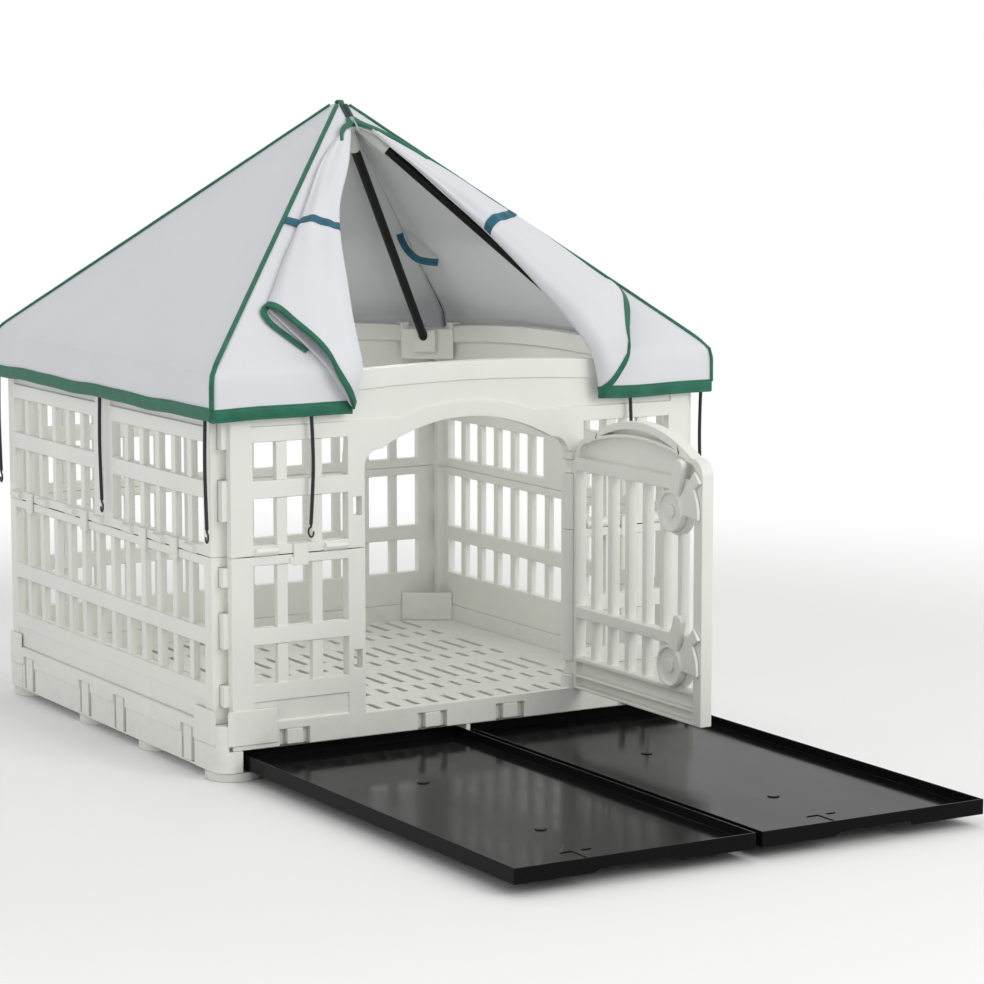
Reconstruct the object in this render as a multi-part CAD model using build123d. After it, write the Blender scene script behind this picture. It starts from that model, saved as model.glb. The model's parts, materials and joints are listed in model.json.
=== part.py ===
"""Dog playpen: slotted floor on a skirted base, four two-storey lattice walls, an arched
door with two turn latches, two slide-out trays and a peaked cloth canopy on four poles.

Millimetres, Z up. The origin is the centre of the pen's footprint on the ground, X runs
to the right along the front wall and Y runs from the door to the back. The pen stands as
photographed: door open, trays pulled out, front of the canopy tied back.
"""
from build123d import *
import os
from math import atan2, cos, degrees, hypot, radians, sin, sqrt, tan

# Walls, outer faces
FRONT_Y = 377.0
SIDE_X = 386.0
WALL_T = 14.0
CORNER_STEP = 7.0
FRONT_HALF = 366.0
SIDE_HALF = FRONT_Y - WALL_T - CORNER_STEP

# Heights of the wall lattice
SEAM_Z = 306.0
SEAM_GAP = 0.4
RAIL_TOP_Z = 78.0
FRONT_BOTTOM_Z = 43.0
ROW_1 = (131.0, 185.0)
ROW_2 = (208.0, 293.0)
ROW_3 = (320.0, 384.0)
ROW_4 = (408.0, 460.0)
BAND_Z = (481.0, 506.0)
PLINTH_Z = 108.0
CORNER_TOP_Z = 534.0
CROWN_RISE = 20.0

# Windows of the side, back and front walls
COLUMNS = 13
PITCH = 52.3
SEAM_PITCH = 103.0
SEAM_SHIFT = 16.0
SEAM_HOOKS = (-3, -1, 1, 2)
SLIT = 39.0
FRONT_SLITS = ((-333.0, -297.0), (-281.0, -244.0), (-228.0, -189.0))
RECESS = 1.5
RECESS_IN = 2.5
TOP_ROLL_H = 26.0
TOP_ROLL_IN = 8.0

# Corner hooks between the walls
FLANGE_W = 27.0
FLANGE_T = 12.0
LUG_LEVELS = ((102.0, 132.0), (182.0, 230.0), (266.0, 292.0), (355.0, 410.0), (452.0, 497.0))
LUG_X = (FRONT_HALF, FRONT_HALF + 9.0)
LUG_T = 6.0
LUG_DEPTH = 8.0
FIT = 0.4

# Doorway and door leaf
DOOR_HALF = 163.0
DOOR_SPRING_Z = 428.0
DOOR_CROWN_Z = 477.0
DOOR_CORNER_R = 26.0
SILL_Z = 76.0
JAMB_T = 18.0
JAMB_W = 26.0
HEADER_Z = 481.0
DOOR_GAP = 1.5
DOOR_T = 18.0
DOOR_EDGE = 6.0
DOOR_STILE = 20.0
DOOR_RIM = 12.0
DOOR_BARS = 6
DOOR_BAR_W = 10.0
DOOR_STEP = 4.0
DOOR_SINK = 11.0
DOOR_ROWS = ((123.0, 180.0), (196.0, 392.0))
DOOR_PANELS = ((81.0, 94.0), (98.0, 117.0))
DOOR_HEAD_Z = 410.0
DOOR_RIB_Z = (423.0, 451.0)
DOOR_RIB_W = 5.0
HINGE_GAP = 0.45
HINGE_OFF = 14.75
ARM_LEVELS = ((96.0, 116.0), (386.0, 406.0))
ARM_R = 8.5
ARM_T = 5.0
PIN_R = 2.6
PIN_FIT = 0.08
PIN_SEAT = 10.0
DOOR_OPEN = 90.0

# Turn latches on the door
LATCH_Z = (152.0, 364.0)
LATCH_FROM_EDGE = 66.0
BOSS_R = 33.0
BOSS_SINK = 2.0
BOSS_T = 11.0
LATCH_R = 28.5
LATCH_T = 5.0
LATCH_CLEAR = 0.5
WING_R = 62.0
WING_ARC = (-6.0, 48.0)
NOSE_R = 79.0
NOSE_ARC = (34.0, 48.0)
LEVER_ANGLE = 72.0
LEVER_REACH = 75.0
LEVER_W = 20.0
LEVER_T = 9.0
PIVOT_R = 4.0
PIVOT_FIT = 0.08
PIVOT_HEAD_R = 9.0
HOLE_FROM_EDGE = (5.0, 18.0)
HOLE_H = 13.0

# Base
FLOOR_TOP_Z = 52.0
FLOOR_T = 5.0
RIB_BOTTOM_Z = 40.0
RIB_W = 2.8
SLOT_PITCH = 31.0
SLOT_COLS = 20
SLOT_W = 9.0
SLOT_PERIOD = 193.6
SLOT_LONG = (-257.0, 80.0)
SLOT_SHORT = (-343.0, 38.0)
BLOCK_TOP_Z = 98.0
BLOCK_SPLIT_Z = 50.0
BLOCK_PROUD = 3.0
BLOCK_R = 26.0
BLOCK_LEN_X = 89.0
BLOCK_LEN_Y = {"f": 80.0, "b": 62.0}
BLOCK_WALL = 37.0
BLOCK_PLATE = 3.0
FOOT_INSET = 1.0
CORNER_PAD_R = 38.0
SIDE_PAD_R = 33.0
CENTRE_PAD_R = 25.0
SIDE_PAD_Y = (-120.0, 92.0)
CENTRE_PAD_Y = (-300.0, 0.0, 300.0)
BASE_BOTTOM_Z = 13.0
RUNNER_T = 2.8
RUNNER_X = 338.0
LEDGE_T = 3.0
LEDGE_W = 12.0
SKIRT_T = 5.0
SKIRT_STEP = 2.0
SIDE_NOTCHES = (-276.5, -48.5, 76.0, 289.0)
NOTCH_W = 41.0
NOTCH_TOP_Z = 65.0
NOTCH_DEPTH = 10.0
CLIP_W = 24.0
FRONT_CLIPS = (-273.0, -58.0, 68.0, 273.0)
FRONT_NOTCH = (46.0, 23.0, 9.0)
SPINE_W = 6.4
SPINE_FLANGE = 24.0

# Trays
TRAY_GAP = 9.0
TRAY_OUT_X = 347.5
TRAY_CLEAR = 0.3
TRAY_TOP_Z = 36.0
TRAY_WALL = 2.6
TRAY_FLOOR_Z = (21.0, 23.4)
TRAY_LEN = 734.0
TRAY_PULL = 700.0
TRAY_CLOSED_Y = -382.0
GRIP_W = 108.0
GRIP_SLOPE = 8.0
DIMPLE_R = 8.0
DIMPLE_H = 1.4
DIMPLE_Y = (-592.0, -890.0)
DIMPLE_X = (-194.0, 158.0)

# Canopy cloth
CAN_X = 398.0
CAN_Y = 389.0
CLOTH_T = 2.4
TRIM_T = 1.2
HEM_Z = 493.0
HEM_H = 18.0
SHOULDER_Z = 556.0
APEX_Z = 903.0
APEX_HALF = 8.0
PIPING_W = 7.0
MOUTH_TOP_Z = 872.0
MOUTH_LEFT = ((-189.0, 493.0), (-173.0, 571.0), (-135.0, 666.0), (-110.0, 727.0),
              (-70.0, 786.0), (-31.0, 830.0))
MOUTH_RIGHT = ((205.0, 493.0), (199.0, 549.0), (165.0, 640.0), (126.0, 718.0),
               (84.0, 780.0), (36.0, 849.0))
ROLL_LEFT = (((-26.0, 862.0), (-12.0, 862.0), 5.0, 47.0), ((-87.0, 817.0), (-42.0, 817.0), 10.0, 47.0),
             ((-142.0, 762.0), (-90.0, 760.0), 14.0, 47.0), ((-180.0, 725.0), (-117.0, 712.0), 17.0, 47.0),
             ((-222.0, 686.0), (-138.0, 658.0), 22.0, 47.0), ((-277.0, 632.0), (-191.0, 498.0), 44.0, 30.0))
ROLL_RIGHT = (((26.0, 862.0), (36.0, 862.0), 4.0, 47.0), ((74.0, 796.0), (112.0, 800.0), 9.0, 47.0),
              ((106.0, 752.0), (160.0, 757.0), 12.0, 47.0), ((131.0, 712.0), (200.0, 720.0), 15.0, 47.0),
              ((166.0, 640.0), (272.0, 652.0), 20.0, 47.0), ((206.0, 498.0), (292.0, 628.0), 40.0, 30.0))
ROLL_SIDES = 5
FOLD_LEFT = ((-271.0, 634.0), (-255.0, 616.0), (-228.0, 581.0), (-208.0, 549.0), (-194.0, 520.0))
FOLD_RIGHT = ((285.0, 628.0), (266.0, 592.0), (242.0, 562.0), (222.0, 536.0), (208.0, 520.0))
FOLD_W = 9.0
STRAP_W = 15.0
STRAP_LEFT = ((-110.0, 724.0), (-178.0, 741.0))
STRAP_RIGHT = ((122.0, 713.0), (176.0, 738.0))
STRAP_INNER = ((212.0, 702.0), (180.0, 660.0))
ZIP_W = 9.0
SLIDER = (6.0, 14.0, 3.0)
PULL = (4.0, 26.0, 1.6)

# Canopy frame
POLE_R = 7.0
POLE_SLOPE = 0.832
POLE_TOP = (30.0, 897.6)
POLE_FOOT_R = 456.0
SOCKET_R = 9.0
SOCKET_REACH = 74.0
HUB_R = 22.0
HUB_Z = (862.0, 882.0)
HUB_KNOB_R = 7.0
GUSSET_Z = (486.0, 535.0)
GUSSET_T = 5.0
GUSSET_RUN = (68.0, 49.0)
GUSSET_BOSS = (34.0, 20.0, 36.0)
LIP_W = 14.0
LIP_T = 3.0
LIP_Z = 542.0
LIP_REACH = 14.0

# Elastic ties
TIE_R = 2.5
TIE_LEN = 146.0
TIE_BOW = 3.0
HOOK_W = 8.0
HOOK_H = 20.0
HOOK_T = 2.5
TIES = ((-1, -17.0), (1, -17.0))
TIES_FRONT = (-250.0, 260.0)
TIE_CORNER = (388.0, 365.0)

GAP = 0.3


def block(x0, x1, y0, y1, z0, z1):
    """A box between two corners."""
    size = (abs(x1 - x0), abs(y1 - y0), abs(z1 - z0))
    return Pos((x0 + x1) / 2, (y0 + y1) / 2, (z0 + z1) / 2) * Box(*size)


def upright(face, w0, w1):
    """A face drawn as (along, height), made a plate from w0 to w1 out from the middle."""
    return Rot(90, 0, 0) * (Pos(0, 0, w0) * extrude(face, w1 - w0))


def slab(u0, u1, w0, w1, z0, z1):
    """A box on the front wall, w measured outwards from the middle of the pen."""
    return block(u0, u1, -w1, -w0, z0, z1)


def rect(u0, u1, v0, v1):
    """A rectangle between two corners."""
    return Pos((u0 + u1) / 2, (v0 + v1) / 2) * Rectangle(u1 - u0, v1 - v0)


def crown_z(u, half):
    """Height of a wall's crowned top edge at a distance from the wall's middle."""
    radius = (half ** 2 + CROWN_RISE ** 2) / (2 * CROWN_RISE)
    return CORNER_TOP_Z + CROWN_RISE - radius + sqrt(radius ** 2 - u ** 2)


def crowned(half, z0, drop=0.0):
    """Outline of an upper wall: flat foot, straight sides and a top that rises in an arc."""
    top = CORNER_TOP_Z - drop
    left, right, low_r, low_l = (-half, top), (half, top), (half, z0), (-half, z0)
    arc = ThreePointArc(left, (0, top + CROWN_RISE), right)
    return make_face(arc + Polyline(right, low_r, low_l, left))


def on_side(shape, name):
    """Turns a wall built as the front one to its own side."""
    turn = {"front": 0, "right": 90, "back": 180, "left": -90}[name]
    return Rot(0, 0, turn) * shape


def slits(pitch, skip_middle):
    """Left and right edges of the windows of a side or back wall."""
    middle = (COLUMNS - 1) / 2
    for i in range(COLUMNS):
        if skip_middle and i == middle:
            continue
        centre = (i - middle) * pitch
        yield centre - SLIT / 2, centre + SLIT / 2


def lattice(face, edges, rows, w_out, half_window):
    """Windows cut through a wall, with the bars between them a little behind the rails."""
    wall = upright(face - [rect(a, b, v0, v1) for a, b in edges for v0, v1 in rows],
                   w_out - WALL_T, w_out)
    cuts = []
    for v0, v1 in rows:
        for a, b in half_window:
            cuts.append(slab(a, b, w_out - RECESS, w_out + 1, v0, v1))
            cuts.append(slab(a, b, w_out - WALL_T - 1, w_out - WALL_T + RECESS_IN, v0, v1))
    return wall - cuts


def flanges(w_out, z0, z1):
    """Return flanges at both ends of a side wall, with pockets for the lugs."""
    ends = []
    for end in (-1, 1):
        ends.append(slab(end * SIDE_HALF, end * (SIDE_HALF - FLANGE_T),
                         w_out - FLANGE_W, w_out, z0, z1))
    cuts = []
    for low, high in LUG_LEVELS:
        if low < z1 and high > z0:
            for end in (-1, 1):
                cuts.append(slab(end * (SIDE_HALF + 1), end * (SIDE_HALF - LUG_DEPTH - FIT),
                                 LUG_X[0] - FIT, LUG_X[1] + FIT, low - FIT, high + FIT))
    return ends, cuts


def lugs(z0, z1):
    """Hooks on the ends of a front or back wall that reach into the side wall's pockets."""
    made = []
    for low, high in LUG_LEVELS:
        if low >= z0 and high <= z1:
            for end in (-1, 1):
                inner = FRONT_Y - WALL_T
                made.append(slab(end * (LUG_X[0] - 4), end * LUG_X[1],
                                 inner, inner + LUG_T, low, high))
                made.append(slab(end * LUG_X[0], end * LUG_X[1],
                                 SIDE_HALF - LUG_DEPTH, inner + LUG_T, low, high))
    return made


def top_roll(half, w_out):
    """The thick rail along a wall's crowned top, thinned where two walls meet."""
    band = crowned(half, CORNER_TOP_Z - TOP_ROLL_H) - crowned(half, 0, TOP_ROLL_H)
    roll = upright(band, w_out - WALL_T - TOP_ROLL_IN, w_out)
    if half != FRONT_HALF:
        return roll
    clear, inner = SIDE_X - FLANGE_W - GAP, w_out - WALL_T
    return roll - [slab(end * clear, end * (half + 1), inner - TOP_ROLL_IN - 1, inner,
                        HEADER_Z, CORNER_TOP_Z + CROWN_RISE) for end in (-1, 1)]


def barrel(u, w_out, length):
    """A hinge barrel across the seam, with eased corners."""
    r = 6.0
    profile = Pos(-(w_out + 1.0), SEAM_Z + r + SEAM_GAP) * RegularPolygon(r, 8)
    rod = extrude(Plane.YZ * profile, length / 2, both=True)
    return Pos(u, 0, 0) * rod


def seam_hook(u, w_out, width=22.0):
    """A hook of the lower half that closes over the seam."""
    face = w_out + GAP
    low = slab(u - width / 2, u + width / 2, face, face + 3.5, SEAM_Z - 16, SEAM_Z + 14)
    return low + slab(u - width / 2 - 5, u - width / 2 + 1, face, face + 2.2, SEAM_Z - 14, SEAM_Z - 4)


def side_wall(name, half):
    """Lower and upper half of a plain wall and the hooks on its seam, as three shapes."""
    w_out = FRONT_Y if name == "back" else SIDE_X
    window = (COLUMNS - 1) / 2 * PITCH + SLIT / 2
    low_z, seam_low, middle = RAIL_TOP_Z + GAP, SEAM_Z - SEAM_GAP, PITCH - SLIT / 2
    lower = lattice(rect(-half, half, low_z, seam_low), slits(PITCH, False),
                    (ROW_1, ROW_2), w_out, ((-window, window),))
    lower -= slab(-window, window, w_out - 2, w_out + 1, low_z - 1, PLINTH_Z)
    upper = lattice(crowned(half, SEAM_Z), slits(PITCH, True),
                    (ROW_3, ROW_4), w_out, ((-window, -middle), (middle, window)))
    upper += top_roll(half, w_out)
    upper -= [slab(-window, -middle + 6, w_out - 4, w_out + 1, *BAND_Z),
              slab(middle - 6, window, w_out - 4, w_out + 1, *BAND_Z),
              slab(-1.0, 1.0, w_out - 1.2, w_out + 1, SEAM_Z - 1, BAND_Z[1])]
    if name == "back":
        lower += lugs(0, SEAM_Z)
        upper += lugs(SEAM_Z, CORNER_TOP_Z)
    else:
        ends, cuts = flanges(w_out, low_z, seam_low)
        lower = lower + ends - cuts
        ends, cuts = flanges(w_out, SEAM_Z, CORNER_TOP_Z)
        upper = upper + ends - cuts
    shift = -SEAM_SHIFT if name == "left" else SEAM_SHIFT
    upper += [barrel(shift + i * SEAM_PITCH, w_out, 34.0) for i in range(-3, 4)]
    hooks = [seam_hook(shift + (i + 0.5) * SEAM_PITCH, w_out) for i in SEAM_HOOKS]
    return on_side(lower, name), on_side(upper, name), [on_side(h, name) for h in hooks]


def arch(half, spring_z, crown_at, corner, z0):
    """Outline of the doorway: straight sides, small corner arcs and a low crown arc."""
    rise = crown_at - spring_z
    run = half - corner * 0.25
    radius = (run ** 2 + rise ** 2) / (2 * rise)
    shoulder_u = half - corner
    shoulder_z = crown_at - radius + sqrt(radius ** 2 - shoulder_u ** 2)
    side_z = spring_z - corner * 0.35
    bend = (half - corner * 0.26, shoulder_z - (shoulder_z - side_z) * 0.34)
    crown = ThreePointArc((-shoulder_u, shoulder_z), (0, crown_at), (shoulder_u, shoulder_z))
    right = ThreePointArc((shoulder_u, shoulder_z), bend, (half, side_z))
    left = ThreePointArc((-half, side_z), (-bend[0], bend[1]), (-shoulder_u, shoulder_z))
    base = Polyline((half, side_z), (half, z0), (-half, z0), (-half, side_z))
    return make_face(Curve() + [crown, right, base, left])


# The hinge axis stands in the right jamb, so that the open leaf clears the wall's face.
LEAF_HALF = DOOR_HALF - DOOR_GAP
HINGE_X = LEAF_HALF + HINGE_OFF
HINGE_Y = -(FRONT_Y - DOOR_T / 2 - 4.75)
POST_R = HINGE_OFF - HINGE_GAP
POST_TOP_Z = DOOR_SPRING_Z - DOOR_CORNER_R * 0.35 - 0.5
SWING_ROOM = hypot(HINGE_X - DOOR_HALF, FRONT_Y + HINGE_Y) - (HINGE_X - LEAF_HALF) + 1.2
LATCH_U = -(LEAF_HALF - LATCH_FROM_EDGE)
LEAF_IN = FRONT_Y - DOOR_T
DISC_W = LEAF_IN + BOSS_SINK - GAP
WING_W = LEAF_IN - LATCH_CLEAR


def hinge_post(z0, z1):
    """The right jamb's rounded post between two heights."""
    inner = -(FRONT_Y - JAMB_T)
    post = Pos(HINGE_X, HINGE_Y, (z0 + z1) / 2) * Cylinder(POST_R, z1 - z0)
    post += block(HINGE_X, HINGE_X + POST_R, -FRONT_Y, inner, z0, z1)
    return post & block(0, FRONT_HALF, -FRONT_Y, inner, z0, z1)


def arm_gaps():
    """What the leaf's arms need inside the hinge post, and the bores for the pins."""
    cuts = []
    for low, high in ARM_LEVELS:
        cuts.append(block(DOOR_HALF - 3, HINGE_X + POST_R + 1, -FRONT_Y - 1,
                          -FRONT_Y + JAMB_T + 1, low - FIT, high + FIT))
        length = high - low + 2 * PIN_SEAT + 1
        cuts.append(Pos(HINGE_X, HINGE_Y, (low + high) / 2) * Cylinder(PIN_R + PIN_FIT, length))
    return cuts


def latch_holes():
    """Holes in the left jamb beside the latch noses."""
    near, far = HOLE_FROM_EDGE
    return [slab(-DOOR_HALF - far, -DOOR_HALF - near, LEAF_IN - 1, FRONT_Y + 1, z - HOLE_H, z + HOLE_H)
            for z in LATCH_Z]


def front_wall():
    """Lower and upper half of the front wall with the arched doorway, and its hooks."""
    mirrored = [(-b, -a) for a, b in FRONT_SLITS]
    edges = list(FRONT_SLITS) + mirrored
    bands = ((FRONT_SLITS[0][0], FRONT_SLITS[-1][1]), (mirrored[-1][0], mirrored[0][1]))
    door = arch(DOOR_HALF, DOOR_SPRING_Z, DOOR_CROWN_Z, DOOR_CORNER_R, SILL_Z)
    seam_low, jamb = SEAM_Z - SEAM_GAP, DOOR_HALF + JAMB_W
    lower = lattice(rect(-FRONT_HALF, FRONT_HALF, FRONT_BOTTOM_Z, seam_low) - door,
                    edges, (ROW_1, ROW_2), FRONT_Y, bands)
    upper = lattice(crowned(FRONT_HALF, SEAM_Z) - door, edges, (ROW_3, ROW_4), FRONT_Y, bands)
    trim = arch(jamb, DOOR_SPRING_Z + 14, DOOR_CROWN_Z + 23, DOOR_CORNER_R, SEAM_Z)
    header = crowned(FRONT_HALF - 30, HEADER_Z, TOP_ROLL_H) - trim
    upper -= upright(header, FRONT_Y - 3, FRONT_Y + 1)
    upper += top_roll(FRONT_HALF, FRONT_Y)
    lower += slab(-jamb, -DOOR_HALF, LEAF_IN, FRONT_Y, SILL_Z, seam_low)
    upper += upright(trim - door, LEAF_IN, FRONT_Y)
    for low, high in ((SILL_Z, seam_low), (SEAM_Z, POST_TOP_Z)):
        corner = block(DOOR_HALF - 1, HINGE_X, -FRONT_Y - 3, HINGE_Y, low, high)
        if low == SILL_Z:
            lower = lower - corner + hinge_post(low, high)
        else:
            upper = upper - corner + hinge_post(low, high)
    lower = lower - arm_gaps() - latch_holes()
    upper = upper - arm_gaps() - latch_holes()
    for a, b in bands:
        lower -= slab(a, b, FRONT_Y - 3, FRONT_Y + 1, RAIL_TOP_Z, PLINTH_Z - 1)
    width, height, depth = FRONT_NOTCH
    for u in FRONT_CLIPS:
        lower -= slab(u - width / 2, u + width / 2, FRONT_Y - depth, FRONT_Y + 1,
                      FRONT_BOTTOM_Z - 1, FRONT_BOTTOM_Z + height)
    lower += lugs(0, SEAM_Z)
    upper += lugs(SEAM_Z, CORNER_TOP_Z)
    for side in (-1, 1):
        upper += [barrel(side * 314, FRONT_Y, 34.0), barrel(side * 209, FRONT_Y, 34.0)]
    return lower, upper, [seam_hook(side * 263, FRONT_Y) for side in (-1, 1)]


def swing(shape):
    """Turns a shape drawn with the door shut to where it stands with the door open."""
    return Pos(HINGE_X, HINGE_Y, 0) * Rot(0, 0, DOOR_OPEN) * Pos(-HINGE_X, -HINGE_Y, 0) * shape


def rod(u, z, radius, w0, w1):
    """A round bar through the front wall at (u, z), w measured outwards."""
    return Pos(u, -(w0 + w1) / 2, z) * Rot(90, 0, 0) * Cylinder(radius, w1 - w0)


def door_leaf():
    """The arched leaf with its bars, panels, latch bosses and hinge arms, drawn shut."""
    zone = (-LEAF_HALF + DOOR_STILE, LEAF_HALF - DOOR_EDGE)
    width = (zone[1] - zone[0] - DOOR_BARS * DOOR_BAR_W) / (DOOR_BARS + 1)
    starts = [zone[0] + i * (width + DOOR_BAR_W) for i in range(DOOR_BARS + 1)]
    face = arch(LEAF_HALF, DOOR_SPRING_Z - DOOR_GAP, DOOR_CROWN_Z - DOOR_GAP, DOOR_CORNER_R,
                SILL_Z + 1)
    face -= [rect(a, a + width, v0, v1) for a in starts for v0, v1 in DOOR_ROWS]
    leaf = upright(face, LEAF_IN, FRONT_Y)
    # Above the hinge post the edge is set in, so that it swings past the corner of the arch.
    over_post = slab(0, LEAF_HALF + 1, LEAF_IN - 1, FRONT_Y + 1, POST_TOP_Z - 1, DOOR_CROWN_Z)
    leaf -= over_post - Pos(-SWING_ROOM, 0, 0) * upright(face, LEAF_IN - 2, FRONT_Y + 2)
    for v0, v1 in DOOR_ROWS:
        leaf -= slab(zone[0], zone[1], LEAF_IN - 1, LEAF_IN + DOOR_STEP, v0, v1)
    for v0, v1 in DOOR_PANELS:
        leaf -= slab(zone[0], zone[1], LEAF_IN - 1, LEAF_IN + DOOR_SINK, v0, v1)
    head = arch(LEAF_HALF - DOOR_RIM, DOOR_SPRING_Z - 7, DOOR_CROWN_Z - DOOR_GAP - DOOR_RIM,
                DOOR_CORNER_R, DOOR_HEAD_Z)
    end, mid = DOOR_RIB_Z
    reach = LEAF_HALF - 2
    low = ThreePointArc((-reach, end), (0, mid), (reach, end))
    high = ThreePointArc((reach, end + DOOR_RIB_W), (0, mid + DOOR_RIB_W), (-reach, end + DOOR_RIB_W))
    rib = make_face(Curve() + [low, Line((reach, end), (reach, end + DOOR_RIB_W)), high,
                               Line((-reach, end + DOOR_RIB_W), (-reach, end))])
    leaf -= upright(head - rib, LEAF_IN - 1, LEAF_IN + DOOR_SINK)
    for z in LATCH_Z:
        leaf += rod(LATCH_U, z, BOSS_R, LEAF_IN + BOSS_SINK, LEAF_IN + BOSS_SINK + BOSS_T)
        leaf -= rod(LATCH_U, z, LATCH_R + 3, LEAF_IN - 1, LEAF_IN + BOSS_SINK)
        leaf -= rod(LATCH_U, z, PIVOT_R + PIVOT_FIT, LEAF_IN - 1, LEAF_IN + BOSS_SINK + BOSS_T - 1)
    for low, high in ARM_LEVELS:
        knuckle = Pos(HINGE_X, HINGE_Y, (low + high) / 2) * Cylinder(ARM_R, high - low)
        arm = block(LEAF_HALF - 4, HINGE_X, HINGE_Y - ARM_T, HINGE_Y + DOOR_T - HINGE_OFF + 1, low, high)
        leaf += knuckle + arm
        leaf -= Pos(HINGE_X, HINGE_Y, (low + high) / 2) * Cylinder(PIN_R + PIN_FIT, high - low + 2)
    return leaf


def sector(r_out, arc):
    """A slice of a disc; angles rise from the leaf's free edge."""
    ends = [(-2 * r_out * cos(radians(a)), 2 * r_out * sin(radians(a))) for a in arc]
    return Circle(r_out) & make_face(Polyline((0, 0), *ends, (0, 0)))


def latch(z):
    """A turn latch: a disc with a wing and nose towards the free edge, and a lever."""
    wing = sector(WING_R, WING_ARC) + sector(NOSE_R, NOSE_ARC)
    lever = Rot(0, 0, 180 - LEVER_ANGLE) * rect(0, LEVER_REACH, -LEVER_W / 2, LEVER_W / 2)
    tip = fillet(lever.vertices().sort_by(lambda v: hypot(v.X, v.Y))[-2:], LEVER_W / 2.5)
    disc = rod(0, 0, LATCH_R, WING_W - LATCH_T, DISC_W)
    shape = upright(wing, WING_W - LATCH_T, WING_W) + upright(tip, WING_W - LEVER_T, WING_W) + disc
    shape += rod(0, 0, LATCH_R, WING_W - LEVER_T, DISC_W) - rod(0, 0, LATCH_R - 4, 0, FRONT_Y)
    shape -= rod(0, 0, LATCH_R - 4, 0, WING_W - LATCH_T)
    shape -= rod(0, 0, PIVOT_R + PIVOT_FIT, 0, FRONT_Y)
    return Pos(LATCH_U, 0, z) * shape


def pivots():
    """A headed pin through each latch into its boss on the leaf."""
    top = WING_W - LATCH_T - GAP
    made = []
    for z in LATCH_Z:
        made.append(rod(LATCH_U, z, PIVOT_R, top - 2, LEAF_IN + BOSS_SINK + BOSS_T - 2)
                    + rod(LATCH_U, z, PIVOT_HEAD_R, top - 2, top))
    return made


def hinge_pins():
    """A pin through each knuckle into the post above and below it."""
    return [Pos(HINGE_X, HINGE_Y, (low + high) / 2) * Cylinder(PIN_R, high - low + 2 * PIN_SEAT)
            for low, high in ARM_LEVELS]


# The base stands a little outside the walls on all sides.
BASE_X = SIDE_X + BLOCK_PROUD
BASE_Y = FRONT_Y + BLOCK_PROUD
IN_X = SIDE_X - WALL_T - GAP
IN_Y = FRONT_Y - WALL_T - GAP
RUNNER_Z = BASE_BOTTOM_Z + RUNNER_T


def to_corner(solid, name):
    """Mirrors a shape built at the back right corner to the named one."""
    if name[0] == "f":
        solid = mirror(solid, Plane.XZ)
    if name[1] == "l":
        solid = mirror(solid, Plane.YZ)
    return solid


def rounded(x0, x1, y0, y1, radius, z0, z1):
    """A block at the back right corner, rounded on its outer edge."""
    face = rect(x0, x1, y0, y1)
    outer = face.vertices().sort_by(lambda v: v.X + v.Y)[-1]
    return Pos(0, 0, z0) * extrude(fillet(outer, radius), z1 - z0)


def corner_block(name):
    """A corner of the base: a collar round the walls' feet, an inner face and a foot."""
    x_in, y_in = BASE_X - BLOCK_LEN_X, BASE_Y - BLOCK_LEN_Y[name[0]]
    wall_x, wall_y = SIDE_X + GAP, FRONT_Y + GAP
    shape = rounded(x_in, BASE_X, y_in, BASE_Y, BLOCK_R, BLOCK_SPLIT_Z, BLOCK_TOP_Z)
    shape -= block(x_in - 1, wall_x, y_in - 1, wall_y, 0, BLOCK_TOP_Z + 1)
    inset = FOOT_INSET
    shape += rounded(BASE_X - BLOCK_WALL, BASE_X - inset, y_in, BASE_Y - inset, BLOCK_R - inset,
                     BASE_BOTTOM_Z, FRONT_BOTTOM_Z - GAP)
    band = rounded(BASE_X - BLOCK_WALL, BASE_X - inset, y_in, BASE_Y - inset, BLOCK_R - inset,
                   FRONT_BOTTOM_Z - 1, RAIL_TOP_Z)
    shape += band & block(IN_X, BASE_X, 0, BASE_Y, 0, RAIL_TOP_Z)
    if name[0] == "b":
        shape += block(x_in, IN_X + 1, IN_Y, BASE_Y - inset, FRONT_BOTTOM_Z - 1, RAIL_TOP_Z)
    core = make_face(Polyline((x_in, IN_Y), (IN_X, y_in), (IN_X, IN_Y), (x_in, IN_Y)))
    shape += Pos(0, 0, FRONT_BOTTOM_Z - 1) * extrude(core, RAIL_TOP_Z + 1 - FRONT_BOTTOM_Z)
    t = BLOCK_PLATE
    plate = make_face(Polyline((x_in, IN_Y - t), (x_in, IN_Y), (IN_X, y_in), (IN_X - t, y_in),
                               (x_in, IN_Y - t)))
    shape += Pos(0, 0, FLOOR_TOP_Z + GAP) * extrude(plate, BLOCK_TOP_Z - FLOOR_TOP_Z - GAP)
    return to_corner(shape, name)


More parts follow.
